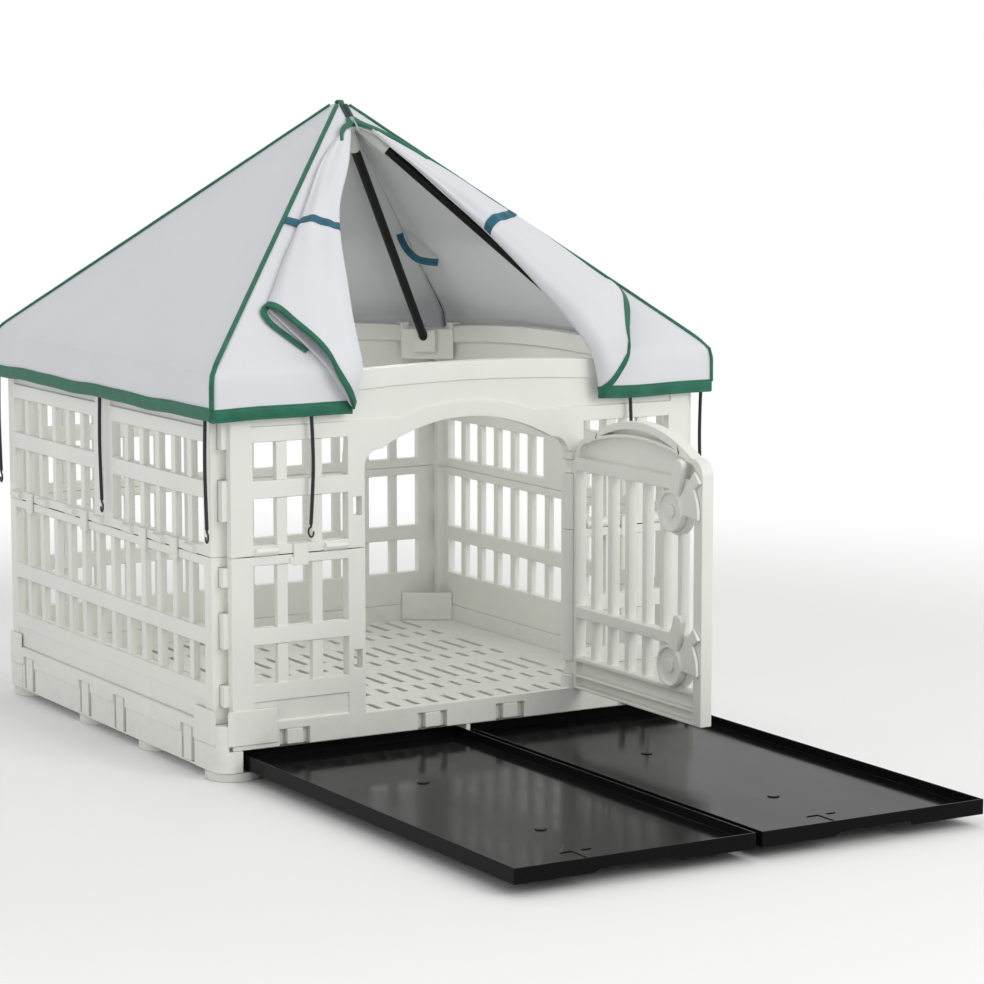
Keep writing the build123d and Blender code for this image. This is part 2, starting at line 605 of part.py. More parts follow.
def floor_panel():
    """The slotted floor with its ribs, its corners cut back for the corner blocks."""
    x_out, y_out = IN_X - GAP, IN_Y - GAP
    x_cut = BASE_X - BLOCK_LEN_X - 0.6
    front, back = -(BASE_Y - BLOCK_LEN_Y["f"] - 0.6), BASE_Y - BLOCK_LEN_Y["b"] - 0.6
    face = make_face(Polyline((-x_cut, -y_out), (x_cut, -y_out), (x_out, front), (x_out, back),
                              (x_cut, y_out), (-x_cut, y_out), (-x_out, back), (-x_out, front),
                              (-x_cut, -y_out)))
    holes = []
    for i in range(SLOT_COLS):
        x = (i - (SLOT_COLS - 1) / 2) * SLOT_PITCH
        for start, length in (SLOT_LONG, SLOT_SHORT):
            for k in range(4):
                y = start + k * SLOT_PERIOD
                far = min(y + length / 2, y_out - 8)
                holes.append(rect(x - SLOT_W / 2, x + SLOT_W / 2, y - length / 2, far))
    panel = Pos(0, 0, FLOOR_TOP_Z - FLOOR_T) * extrude(face - holes, FLOOR_T)
    ribs = []
    for i in range(1, SLOT_COLS):
        x = (i - SLOT_COLS / 2) * SLOT_PITCH
        if x:
            ribs.append(block(x - RIB_W / 2, x + RIB_W / 2, -y_out, y_out, RIB_BOTTOM_Z,
                              FLOOR_TOP_Z - FLOOR_T + 1))
    return panel + ribs


def side_rail(side):
    """A base rail under a side wall: carries wall, floor and tray, with notched skirt."""
    y0, y1 = -(BASE_Y - BLOCK_LEN_Y["f"] - GAP), BASE_Y - BLOCK_LEN_Y["b"] - GAP
    skirt = BASE_X - SKIRT_STEP
    under = FLOOR_TOP_Z - FLOOR_T - GAP
    rail = block(IN_X + GAP, BASE_X, y0, y1, FLOOR_TOP_Z, RAIL_TOP_Z)
    rail += block(skirt - SKIRT_T, skirt, y0, y1, BASE_BOTTOM_Z, FLOOR_TOP_Z + 1)
    rail += block(IN_X + GAP, skirt, y0, y1, under - LEDGE_T, FLOOR_TOP_Z + 1)
    rail += block(IN_X - LEDGE_W, skirt, y0, y1, under - LEDGE_T, under)
    rail += block(RUNNER_X, skirt, y0, y1, BASE_BOTTOM_Z, RUNNER_Z)
    for y in SIDE_NOTCHES:
        rail -= block(BASE_X - NOTCH_DEPTH, BASE_X + 1, y - NOTCH_W / 2, y + NOTCH_W / 2,
                      RUNNER_Z, NOTCH_TOP_Z)
    return mirror(rail, Plane.YZ) if side < 0 else rail


def back_rail():
    """The base rail under the back wall."""
    x_end = BASE_X - BLOCK_LEN_X - GAP
    rail = block(-x_end, x_end, IN_Y + GAP, BASE_Y, FLOOR_TOP_Z, RAIL_TOP_Z)
    return rail + block(-x_end, x_end, IN_Y + GAP, BASE_Y - SKIRT_STEP, BASE_BOTTOM_Z, FLOOR_TOP_Z + 1)


def centre_rail():
    """The spine between the trays: a web under the floor on a flange that carries both."""
    top = FLOOR_TOP_Z - FLOOR_T - GAP
    front, back = -FRONT_Y + 1, IN_Y
    front_cut = block(-SPINE_W, SPINE_W, front - 1, -IN_Y + GAP, FRONT_BOTTOM_Z - GAP, top + 1)
    rail = block(-SPINE_W / 2, SPINE_W / 2, front, back, BASE_BOTTOM_Z, top)
    return rail + block(-SPINE_FLANGE / 2, SPINE_FLANGE / 2, front, back,
                        BASE_BOTTOM_Z, RUNNER_Z) - front_cut


def pads():
    """The round feet under corners, side rails and spine."""
    made = []
    for sx in (-1, 1):
        for sy in (-1, 1):
            made.append(foot(sx * (BASE_X - 1 - CORNER_PAD_R), sy * (BASE_Y - 1 - CORNER_PAD_R),
                             CORNER_PAD_R))
        made += [foot(sx * (BASE_X - SKIRT_STEP - SIDE_PAD_R), y, SIDE_PAD_R) for y in SIDE_PAD_Y]
    return made + [foot(0, y, CENTRE_PAD_R) for y in CENTRE_PAD_Y]


def foot(x, y, radius):
    """A round foot under a rail."""
    top = BASE_BOTTOM_Z - GAP
    return Pos(x, y, top / 2) * Cylinder(radius, top)


def clips():
    """Snap tongues in the notches of the side rails and of the front wall."""
    made = []
    deep = BASE_X - NOTCH_DEPTH + GAP
    for side in (-1, 1):
        for y in SIDE_NOTCHES:
            made.append(block(side * deep, side * (BASE_X - 1), y - CLIP_W / 2, y + CLIP_W / 2,
                              RUNNER_Z + GAP, NOTCH_TOP_Z - GAP))
    height, depth = FRONT_NOTCH[1], FRONT_NOTCH[2]
    for u in FRONT_CLIPS:
        made.append(slab(u - CLIP_W / 2, u + CLIP_W / 2, FRONT_Y - depth + GAP, FRONT_Y + 1,
                         FRONT_BOTTOM_Z + 2, FRONT_BOTTOM_Z + height - GAP))
    return made


def tray(side):
    """A shallow slide-out tray with a finger notch under its front wall, pulled out."""
    x0, x1 = sorted((side * TRAY_GAP / 2, side * TRAY_OUT_X))
    y0 = TRAY_CLOSED_Y - TRAY_PULL
    y1 = y0 + TRAY_LEN
    low, (under, over), t = RUNNER_Z + TRAY_CLEAR, TRAY_FLOOR_Z, TRAY_WALL
    body = block(x0, x1, y0, y1, low, TRAY_TOP_Z)
    body -= block(x0 + t, x1 - t, y0 + t, y1 - t, over, TRAY_TOP_Z + 1)
    body -= block(x0 + t, x1 - t, y0 + t, y1 - t, low - 1, under)
    middle = (x0 + x1) / 2
    half, wide = GRIP_W / 2, GRIP_W / 2 + GRIP_SLOPE
    notch = make_face(Polyline((middle - wide, low - 1), (middle + wide, low - 1),
                               (middle + half, under), (middle - half, under),
                               (middle - wide, low - 1)))
    body -= upright(notch, -y0 - t - 1, -y0 + 1)
    x = DIMPLE_X[0] if side < 0 else DIMPLE_X[1]
    for y in DIMPLE_Y:
        body += Pos(x, y, over + DIMPLE_H / 2) * Cylinder(DIMPLE_R, DIMPLE_H)
    return body


def tent(inset):
    """The canopy as a full solid, its outside moved inwards by a distance."""
    rise = APEX_Z - SHOULDER_Z
    tilt = rise / (CAN_Y - APEX_HALF)
    shift = sqrt(1 + tilt ** 2)
    shoulder, top = SHOULDER_Z + inset * (tilt - shift), APEX_Z - inset * shift
    low = Rectangle(2 * (CAN_X - inset), 2 * (CAN_Y - inset))
    cap = Rectangle(2 * APEX_HALF, 2 * APEX_HALF)
    skirt = Pos(0, 0, HEM_Z) * extrude(low, shoulder - HEM_Z)
    return skirt + loft([Pos(0, 0, shoulder) * low, Pos(0, 0, top) * cap], ruled=True)


def shell(outside, inside):
    """A layer of cloth between two distances inside the canopy's surface."""
    return tent(outside) - tent(inside)


def wedge(name):
    """The upright prism that holds one side of the canopy."""
    a, b = APEX_HALF, (2 * CAN_X - APEX_HALF, 2 * CAN_Y - APEX_HALF)
    corner = {"right": ((a, -a), (b[0], -b[1]), (b[0], b[1]), (a, a)),
              "left": ((-a, a), (-b[0], b[1]), (-b[0], -b[1]), (-a, -a)),
              "front": ((-a, -a), (-b[0], -b[1]), (b[0], -b[1]), (a, -a)),
              "back": ((a, a), b, (-b[0], b[1]), (-a, a))}[name]
    face = offset(make_face(Polyline(*corner, corner[0])), -GAP / 2)
    if name == "back":
        face += rect(GAP / 2 - a, a - GAP / 2, GAP / 2 - a, a + 1)
    return Pos(0, 0, HEM_Z - 10) * extrude(face, 500)


def front_prism(outline):
    """A prism from an outline drawn as (x, z), reaching forward from the middle."""
    return upright(outline, 1, 2 * CAN_Y)


def ribbon(points, width):
    """The outline of a flat ribbon laid along points."""
    line = Polyline(*points) if len(points) == 2 else Spline(*points)
    return trace(line, width)


def mouth():
    """Outline of the tied-back opening in the front of the canopy."""
    tip = (0.0, MOUTH_TOP_Z)
    left, right = Spline(*MOUTH_LEFT, tip), Spline(*MOUTH_RIGHT, tip)
    low = HEM_Z - 20
    base = Polyline(MOUTH_LEFT[0], (MOUTH_LEFT[0][0], low), (MOUTH_RIGHT[0][0], low), MOUTH_RIGHT[0])
    return make_face(Curve() + [left, right, base])


def on_cloth(x, z):
    """A place on the canopy's front, on its slope or on the upright valance under it."""
    return on_front(x, z) if z > SHOULDER_Z else Vector(x, -CAN_Y, z)


def on_front(x, z, out=0.0):
    """A place on the canopy's front slope, moved outwards by a distance."""
    tilt = (APEX_Z - SHOULDER_Z) / (CAN_Y - APEX_HALF)
    length = sqrt(1 + tilt ** 2)
    y = -CAN_Y + (z - SHOULDER_Z) / tilt
    return Vector(x, y - out * tilt / length, z + out / length)


def section(left, right, height, lean, grow):
    """A half oval across a rolled flap, bulging outwards from a chord on the cloth."""
    a, b = on_cloth(*left), on_cloth(*right)
    across, out = b - a, Vector(0, -cos(radians(lean)), sin(radians(lean)))
    half = across.length / 2 + grow
    turns = [radians(180 * i / ROLL_SIDES) for i in range(ROLL_SIDES + 1)]
    points = [(half * cos(t), (height + grow) * sin(t)) for t in turns]
    plane = Plane(origin=(a + b) * 0.5, x_dir=across, z_dir=across.cross(out))
    return plane * make_face(Polyline(*points, (-half, -4), (half, -4), points[0]))


def rolls(grow):
    """The two flaps of the front rolled back on themselves, grown by a distance."""
    return [loft([section(*row, grow) for row in rows], ruled=True) for rows in (ROLL_LEFT, ROLL_RIGHT)]


def cloth_parts():
    """Every piece of the canopy, under its node's name."""
    fabric = shell(0, CLOTH_T)
    trim = shell(-GAP - TRIM_T, -GAP)
    lining = shell(CLOTH_T + GAP, CLOTH_T + GAP + TRIM_T)
    near, far = rolls(GAP), rolls(GAP + TRIM_T)
    over = (tent(-GAP - TRIM_T) + far) - (tent(-GAP) + near)
    front = (fabric & wedge("front")) - front_prism(mouth()) - front_prism(
        rect(-GAP / 2, GAP / 2, MOUTH_TOP_Z - 2, APEX_Z + 10))
    sides = front.solids().sort_by(Axis.X)
    parts = {f"canopy_{name}": fabric & wedge(name) for name in ("left", "right", "back")}
    left, right = [bulge - tent(0) for bulge in rolls(0)]
    parts["flap_left"], parts["flap_right"] = sides[0] + left, sides[-1] + right
    hem = trim & block(-500, 500, -500, 500, HEM_Z, HEM_Z + HEM_H)
    hem -= front_prism(rect(MOUTH_LEFT[0][0], MOUTH_RIGHT[0][0], HEM_Z - 1, HEM_Z + HEM_H + 1))
    folds = [over & front_prism(ribbon(fold, FOLD_W)) for fold in (FOLD_LEFT, FOLD_RIGHT)]
    upper = block(-500, 500, -500, 0, HEM_Z + HEM_H + GAP, 900)
    parts["hem_binding"] = hem - near
    parts["fold_binding"] = Compound([max((fold & upper).solids(), key=lambda x: x.volume) for fold in folds])
    run, depth = CAN_X - APEX_HALF, CAN_Y - APEX_HALF
    band = Rot(0, 0, degrees(atan2(depth, run))) * rect(0, 600, -PIPING_W / 2, PIPING_W / 2)
    strip = Pos(0, 0, HEM_Z + HEM_H + GAP) * extrude(Pos(APEX_HALF, APEX_HALF) * band, 500)
    quarter = trim & strip
    parts["hip_piping"] = Compound([to_corner(quarter, n) - near for n in ("bl", "br", "fl", "fr")])
    for name, ends in (("strap_left", STRAP_LEFT), ("strap_right", STRAP_RIGHT)):
        strap = over & front_prism(ribbon(ends, STRAP_W))
        parts[name] = max(strap.solids(), key=lambda x: x.volume)
    parts["inner_strap"] = lining & extrude(Plane.YZ * ribbon(STRAP_INNER, STRAP_W), CAN_X)
    parts["zip_tape"] = trim & front_prism(rect(-ZIP_W / 2, ZIP_W / 2, MOUTH_TOP_Z, APEX_Z - 8))
    parts["zip_slider"] = slider()
    return parts


def slider():
    """The zip's slider with its hanging pull."""
    width, length, height = SLIDER
    seat = GAP + TRIM_T + GAP
    plane = Plane(origin=on_front(0, MOUTH_TOP_Z + 6, seat + height / 2), x_dir=(1, 0, 0),
                  z_dir=(on_front(0, 700, 1) - on_front(0, 700)))
    wide, long, thin = PULL
    pull = Pos(0, -length / 2 - long / 2 + 3, height / 2 - thin / 2) * Box(wide, long, thin)
    return plane * (Box(width, length, height) + pull)


def pole_axis(name, radius):
    """A place on a pole's centre line at a distance from the middle of the pen."""
    sx = 1 if name[1] == "r" else -1
    sy = 1 if name[0] == "b" else -1
    step = radius / sqrt(2)
    return Vector(sx * step, sy * step, POLE_TOP[1] - POLE_SLOPE * radius)


def bar(a, b, radius):
    """A round bar between two places."""
    way = b - a
    return Plane(origin=a, z_dir=way) * (Pos(0, 0, way.length / 2) * Cylinder(radius, way.length))


def hub():
    """The plastic hub under the apex with a socket for each pole."""
    low, high = HUB_Z
    body = Pos(0, 0, (low + high) / 2) * Cylinder(HUB_R, high - low)
    top = APEX_Z - CLOTH_T * hypot(1, (APEX_Z - SHOULDER_Z) / (CAN_Y - APEX_HALF)) - GAP
    body += Pos(0, 0, (high + top) / 2) * Cone(HUB_R - 6, HUB_KNOB_R, top - high)
    for name in ("fl", "fr", "bl", "br"):
        body += bar(pole_axis(name, HUB_R + 1), pole_axis(name, SOCKET_REACH), SOCKET_R)
    for name in ("fl", "fr", "bl", "br"):
        body -= bar(pole_axis(name, POLE_TOP[0] - 1), pole_axis(name, SOCKET_REACH + 5), POLE_R + GAP)
    return body


def gusset(name):
    """The bracket in a top corner that holds a pole's foot and laps over both walls."""
    reach = TOP_ROLL_IN + WALL_T + GAP
    x1, y0 = SIDE_X - reach, FRONT_Y - reach
    x0, y1 = x1 - GUSSET_RUN[0], y0 - GUSSET_RUN[1]
    angle = degrees(atan2(y1 - y0, x1 - x0))
    low, high = GUSSET_Z
    t = GUSSET_T
    plate = make_face(Polyline((x0, y0), (x1, y1), (x1, y1 - t * 1.2), (x0, y0 - t * 1.2), (x0, y0)))
    shape = Pos(0, 0, low) * extrude(plate, high - low)
    wide, deep, tall = GUSSET_BOSS
    shape += (Pos((x0 + x1) / 2, (y0 + y1) / 2, high - tall / 2) * Rot(0, 0, angle)
              * Pos(0, -deep / 2 - 1, 0) * Box(wide, deep, tall))
    shape += block(x0, x0 + LIP_W, y0 - t, y0, high - 1, LIP_Z + LIP_T)
    shape += block(x0, x0 + LIP_W, y0 - t, y0 + LIP_REACH, LIP_Z, LIP_Z + LIP_T)
    shape += block(x1 - t, x1, y1 - t, y1 + LIP_W - t, high - 1, LIP_Z + LIP_T)
    shape += block(x1 - t, x1 + LIP_REACH, y1 - t, y1 + LIP_W - t, LIP_Z, LIP_Z + LIP_T)
    shape -= bar(pole_axis("br", POLE_FOOT_R + 1), pole_axis("br", POLE_TOP[0]), POLE_R + GAP)
    return to_corner(shape, name)


def tie_tops():
    """Where each elastic tie hangs from the hem, and which way it leans in."""
    x, y = CAN_X - CLOTH_T / 2, CAN_Y - CLOTH_T / 2
    cx, cy = TIE_CORNER
    tops = [(sx * x, ty, 0, -sx) for sx, ty in TIES]
    tops += [(fx, -y, 1, 1) for fx in TIES_FRONT] + [(0.0, y, 1, -1)]
    tops += [(sx * x, sy * cy, 0, -sx) for sx in (-1, 1) for sy in (-1, 1)]
    return tops


def tie_path(x, y, axis, lean):
    """The bent line of an elastic tie hanging from the hem."""
    points = []
    for part, bow in ((0.0, 0.0), (0.35, 1.0), (0.7, 0.4), (1.0, -0.6)):
        shift = bow * TIE_BOW
        along = (shift, 0.0) if axis else (0.0, shift)
        points.append(Vector(x + along[0], y + along[1], HEM_Z - GAP - part * TIE_LEN))
    return points


def ties():
    """The elastic ties and the hooks at their ends."""
    cords, hooks = [], []
    for x, y, axis, lean in tie_tops():
        points = tie_path(x, y, axis, lean)
        runs = [(b - a).length for a, b in zip(points, points[1:])]
        radii = []
        for i in range(1, len(points) - 1):
            turn = radians((points[i] - points[i - 1]).get_angle(points[i + 1] - points[i]))
            radii.append(0.45 * min(runs[i - 1], runs[i]) / tan(turn / 2))
        path = FilletPolyline(*points, radius=radii)
        print("tie", [round(r) for r in radii])
        cords.append(sweep(Plane(origin=points[0], z_dir=path % 0) * Circle(TIE_R), path))
        end = points[-1]
        face = Rectangle(HOOK_W, HOOK_H) - Pos(HOOK_T, 1) * Rectangle(HOOK_W - HOOK_T, HOOK_H - 2 * HOOK_T - 2)
        hook = Rot(0, 0, 0 if axis else 90) * Rot(90, 0, 0) * extrude(face, HOOK_T, both=True)
        hooks.append(Pos(end.X, end.Y, end.Z - GAP - HOOK_H / 2) * hook)
    return cords, hooks


def build():
    """Builds every piece and returns it under its node's name."""
    parts = {}
    parts["front_lower"], parts["front_upper"], hooks = front_wall()
    for name, half in (("left", SIDE_HALF), ("right", SIDE_HALF), ("back", FRONT_HALF)):
        parts[name + "_lower"], parts[name + "_upper"], more = side_wall(name, half)
        hooks += more
    parts["seam_hooks"] = Compound(hooks)
    parts["door_panel"] = swing(door_leaf())
    parts["door_hinge_pins"] = Compound(hinge_pins())
    parts["latch_lower"], parts["latch_upper"] = (swing(latch(z)) for z in LATCH_Z)
    parts["latch_pivots"] = Compound([swing(pin) for pin in pivots()])
    for name in ("fl", "fr", "bl", "br"):
        parts["corner_block_" + name] = corner_block(name)
        parts["gusset_" + name] = gusset(name)
        parts["pole_" + name] = bar(pole_axis(name, POLE_TOP[0]), pole_axis(name, POLE_FOOT_R), POLE_R)
    parts["floor_panel"] = floor_panel()
    parts["side_rail_left"], parts["side_rail_right"] = side_rail(-1), side_rail(1)
    parts["back_rail"], parts["centre_rail"] = back_rail(), centre_rail()
    parts["foot_pads"], parts["base_clips"] = Compound(pads()), Compound(clips())
    parts["tray_left"], parts["tray_right"] = tray(-1), tray(1)
    parts["hub"] = hub()
    parts.update(cloth_parts())
    cords, tie_ends = ties()
    parts["elastic_ties"], parts["tie_hooks"] = Compound(cords), Compound(tie_ends)
    return parts


os.makedirs("parts", exist_ok=True)
for node, shape in build().items():
    export_step(shape, f"parts/{node}.step")
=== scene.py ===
"""Looks of the dog playpen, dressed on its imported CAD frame.

Sizes in this script are millimetres until a mesh is written, when they become metres.
"""
from __future__ import annotations

import json
import logging
import math
from collections.abc import Callable, Sequence
from dataclasses import dataclass
from enum import Enum

import bmesh
import bpy
import numpy as np
from mathutils import Euler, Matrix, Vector

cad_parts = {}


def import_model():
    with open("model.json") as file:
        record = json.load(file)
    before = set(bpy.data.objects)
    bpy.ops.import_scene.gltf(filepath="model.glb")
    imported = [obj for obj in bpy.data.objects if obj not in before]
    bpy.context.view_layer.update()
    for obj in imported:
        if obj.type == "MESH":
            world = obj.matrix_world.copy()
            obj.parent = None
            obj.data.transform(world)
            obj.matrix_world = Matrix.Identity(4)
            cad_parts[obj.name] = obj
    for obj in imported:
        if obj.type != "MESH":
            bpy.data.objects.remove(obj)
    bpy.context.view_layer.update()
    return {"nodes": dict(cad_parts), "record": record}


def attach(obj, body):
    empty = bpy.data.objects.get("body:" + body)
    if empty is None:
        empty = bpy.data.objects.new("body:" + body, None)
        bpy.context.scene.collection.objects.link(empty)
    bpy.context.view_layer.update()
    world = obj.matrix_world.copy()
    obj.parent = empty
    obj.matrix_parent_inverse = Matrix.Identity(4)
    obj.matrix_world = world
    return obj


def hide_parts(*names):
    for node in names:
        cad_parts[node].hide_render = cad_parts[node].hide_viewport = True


LOG = logging.getLogger("playpen")
MM = 0.001
Points = np.ndarray

# Repeats of the fine textures, in metres.
WEAVE = 0.0011
RIB = 0.0013
THREAD = 0.0009
STITCH = 0.0042
TAPE_HALF = 0.008
SEAM_IN = 0.0022
SEAM_HALF = 0.00045
# Height in metres over which the darker blotches low on moulded plastic fade down to a trace.
LOW_DARK_HEIGHT = 0.11
DUST = (0.05, 0.05, 0.052)

# How rigid nodes are cleaned before their edges are eased.
WELD = 3e-6
FLAT_ANGLE = math.radians(0.5)
EASE_ANGLE = math.radians(28)

# The studio, in metres and degrees.
FLOOR_HALF = 14
FLOOR_WHITE = 0.94
FLOOR_FADE = (1.05, 2.3)
WORLD_LIGHT = 0.68
LAMP_COLOUR = (1.0, 0.985, 0.95)
CAMERA_AT = (-2.186, -4.154, 0.959)
CAMERA_DOWN = 7.67
CAMERA_TURN = -30.49
CAMERA_LENS = 115.8
SENSOR = 36.0


class Kind(Enum):
    """The families of surface that the pen shows."""

    MOULDED = "moulded"
    GLOSSY = "glossy"
    CLOTH = "cloth"
    TAPE = "tape"
    METAL = "metal"
    ELASTIC = "elastic"
    ZIP = "zip"


@dataclass(frozen=True)
class Finish:
    """How one material slot looks.

    Args:
        kind: Family of the surface.
        colour: Linear base colour.
        rough: Middle of the roughness.
        metal: Metallic amount.
        ior: Index of refraction.
    """

    kind: Kind
    colour: tuple[float, float, float]
    rough: float
    metal: float = 0.0
    ior: float = 1.5


FINISHES: dict[str, Finish] = {
    "wall_plastic": Finish(Kind.MOULDED, (0.80, 0.81, 0.762), 0.42),
    "pad_plastic": Finish(Kind.MOULDED, (0.74, 0.745, 0.70), 0.5),
    "pole_black": Finish(Kind.METAL, (0.005, 0.005, 0.0055), 0.40, ior=1.25),
    "tray_plastic": Finish(Kind.GLOSSY, (0.005, 0.005, 0.0055), 0.09, ior=1.14),
    "canopy_cloth": Finish(Kind.CLOTH, (0.722, 0.733, 0.775), 0.72),
    "green_binding": Finish(Kind.TAPE, (0.006, 0.125, 0.068), 0.70),
    "teal_strap": Finish(Kind.TAPE, (0.006, 0.100, 0.150), 0.70),
    "zip_black": Finish(Kind.ZIP, (0.006, 0.030, 0.024), 0.6),
    "zip_metal": Finish(Kind.METAL, (0.20, 0.26, 0.25), 0.32, 1.0),
    "elastic_black": Finish(Kind.ELASTIC, (0.010, 0.010, 0.011), 0.75),
    "hook_plastic": Finish(Kind.MOULDED, (0.02, 0.02, 0.02), 0.45),
}


class Sock:
    """A shader value that ordinary arithmetic works on."""

    def __init__(self, graph: Graph, socket: bpy.types.NodeSocket) -> None:
        self.graph, self.socket = graph, socket

    def other(self, out: str | int) -> Sock:
        """Returns another output of the same node."""
        return Sock(self.graph, self.socket.node.outputs[out])

    def __add__(self, value: Sock | float) -> Sock:
        return self.graph.math("ADD", self, value)

    def __radd__(self, value: float) -> Sock:
        return self.graph.math("ADD", value, self)

    def __sub__(self, value: Sock | float) -> Sock:
        return self.graph.math("SUBTRACT", self, value)

    def __rsub__(self, value: float) -> Sock:
        return self.graph.math("SUBTRACT", value, self)

    def __mul__(self, value: Sock | float) -> Sock:
        return self.graph.math("MULTIPLY", self, value)

    def __rmul__(self, value: float) -> Sock:
        return self.graph.math("MULTIPLY", value, self)


class Graph:
    """The node tree of a material or a world, written as plain calls."""

    def __init__(self, owner: bpy.types.Material | bpy.types.World,
                 shader: str = "Principled BSDF") -> None:
        owner.use_nodes = True
        self.tree = owner.node_tree
        self.shader = self.tree.nodes[shader]

    def plug(self, socket: bpy.types.NodeSocket,
             value: Sock | float | Sequence[float]) -> None:
        """Links or sets one input.

        Args:
            socket: The input.
            value: A shader value or a constant.
        """
        if isinstance(value, Sock):
            self.tree.links.new(value.socket, socket)
        else:
            socket.default_value = value

    def node(self, kind: str, out: str | int = 0, inputs: dict | None = None,
             **props: object) -> Sock:
        """Adds a node, its settings first and then its inputs.

        Args:
            kind: Node type without its prefix.
            out: Output wanted.
            inputs: Values by input name or number.
            **props: Node properties.

        Returns:
            The wanted output.
        """
        made = self.tree.nodes.new("ShaderNode" + kind)
        for key, value in props.items():
            setattr(made, key, value)
        for key, value in (inputs or {}).items():
            self.plug(made.inputs[key], value)
        return Sock(self, made.outputs[out])

    def math(self, op: str, a: Sock | float, b: Sock | float = 0.0) -> Sock:
        """Adds one arithmetic node."""
        return self.node("Math", inputs={0: a, 1: b}, operation=op)

    def place(self) -> Sock:
        """Returns object coordinates, in metres."""
        return self.node("TexCoord", out="Object")

    def noise(self, scale: float, detail: float = 3.0, rough: float = 0.55,
              stretch: tuple[float, float, float] = (1, 1, 1)) -> Sock:
        """Returns fractal noise around one half."""
        at = self.node("Mapping", inputs={"Vector": self.place(), "Scale": stretch})
        return self.node("TexNoise", out="Fac", inputs={
            "Vector": at, "Scale": scale, "Detail": detail, "Roughness": rough})

    def ramp(self, value: Sock, low: float, high: float, to_low: float, to_high: float,
             shape: str = "LINEAR") -> Sock:
        """Maps a range of values onto another, clamped."""
        return self.node("MapRange", interpolation_type=shape, inputs={
            "Value": value, "From Min": low, "From Max": high, "To Min": to_low, "To Max": to_high})

    def mix(self, amount: Sock | float, a: Sock | Sequence[float],
            b: Sock | Sequence[float]) -> Sock:
        """Blends two colours, by the numbers that a colour mix has for its sockets."""
        first, second = (c if isinstance(c, Sock) else (*c, 1.0) for c in (a, b))
        return self.node("Mix", out=2, data_type="RGBA", inputs={0: amount, 6: first, 7: second})

    def bump(self, height: Sock, strength: float, distance: float,
             under: Sock | None = None) -> Sock:
        """Returns a normal raised by a height, over another normal if one is given."""
        inputs: dict = {"Height": height, "Strength": strength, "Distance": distance}
        if under is not None:
            inputs["Normal"] = under
        return self.node("Bump", inputs=inputs)


def shade(colour: Sequence[float], gain: float) -> tuple[float, float, float]:
    """Returns a colour made lighter or darker."""
    return tuple(min(1.0, c * gain) for c in colour)


def moulded(g: Graph, finish: Finish) -> None:
    """Satin moulded plastic: slight clouding, darker blotches towards the bottom, fine spark texture,
    worn sheen.
    """
    cloud = g.noise(5.0, 4.0)
    clean = g.mix(g.ramp(cloud, 0.3, 0.7, 0.0, 1.0), shade(finish.colour, 0.955),
                  shade(finish.colour, 1.03))
    height = g.node("SeparateXYZ", out=2, inputs={0: g.place()})
    spots = g.ramp(g.noise(42.0, 6.0, 0.72), 0.45, 0.72, 0.0, 1.0)
    # Darker blotches, strongest at the bottom and faint above the lowest 11 cm, mixed towards a darker
    # copy of the colour.
    low_dark = g.ramp(height, 0.0, LOW_DARK_HEIGHT, 1.0, 0.05) * spots
    g.plug(g.shader.inputs["Base Color"], g.mix(low_dark * 0.28, clean, shade(finish.colour, 0.55)))
    smear = g.noise(28.0, 5.0, 0.65, (1.0, 1.0, 0.35))
    g.plug(g.shader.inputs["Roughness"],
           g.ramp(smear, 0.25, 0.75, finish.rough - 0.09, finish.rough + 0.12))
    spark = g.noise(2600.0, 2.0, 0.6)
    wave = g.noise(16.0, 2.0)
    low = g.bump(wave, 0.22, 0.0022)
    g.plug(g.shader.inputs["Normal"], g.bump(spark, 0.10, 0.00012, low))


def glossy(g: Graph, finish: Finish) -> None:
    """Glossy black plastic with dust, wipe marks and a faint ripple."""
    dust = g.noise(700.0, 3.0, 0.7)
    g.plug(g.shader.inputs["Base Color"],
           g.mix(g.ramp(dust, 0.62, 0.82, 0.0, 0.5), finish.colour, DUST))
    wipe = g.noise(12.0, 6.0, 0.7, (1.0, 0.25, 1.0))
    g.plug(g.shader.inputs["Roughness"],
           g.ramp(wipe, 0.3, 0.75, finish.rough - 0.02, finish.rough + 0.13))
    ripple = g.noise(9.0, 2.0)
    g.plug(g.shader.inputs["Normal"], g.bump(ripple, 0.2, 0.0012))


def cloth(g: Graph, finish: Finish) -> None:
    """Coated polyester: plain weave, soft creases and a little unevenness."""
    across = g.node("SeparateXYZ", inputs={0: g.node("UVMap")})
    warp = g.math("SINE", across * (2 * math.pi / WEAVE))
    weft = g.math("SINE", across.other(1) * (2 * math.pi / WEAVE))
    weave = warp * weft
    crease = g.noise(7.0, 5.0, 0.6)
    ply = g.noise(34.0, 3.0, 0.55)
    cloud = g.noise(3.0, 3.0)
    g.plug(g.shader.inputs["Base Color"],
           g.mix(g.ramp(cloud, 0.3, 0.7, 0.0, 1.0), shade(finish.colour, 0.965),
                 shade(finish.colour, 1.02)))
    g.plug(g.shader.inputs["Roughness"],
           g.ramp(ply, 0.3, 0.7, finish.rough - 0.08, finish.rough + 0.08))
    low = g.bump(crease, 0.30, 0.006)
    mid = g.bump(ply, 0.22, 0.0009, low)
    g.plug(g.shader.inputs["Normal"], g.bump(weave, 0.28, 0.00012, mid))
    g.shader.inputs["Sheen Weight"].default_value = 0.08


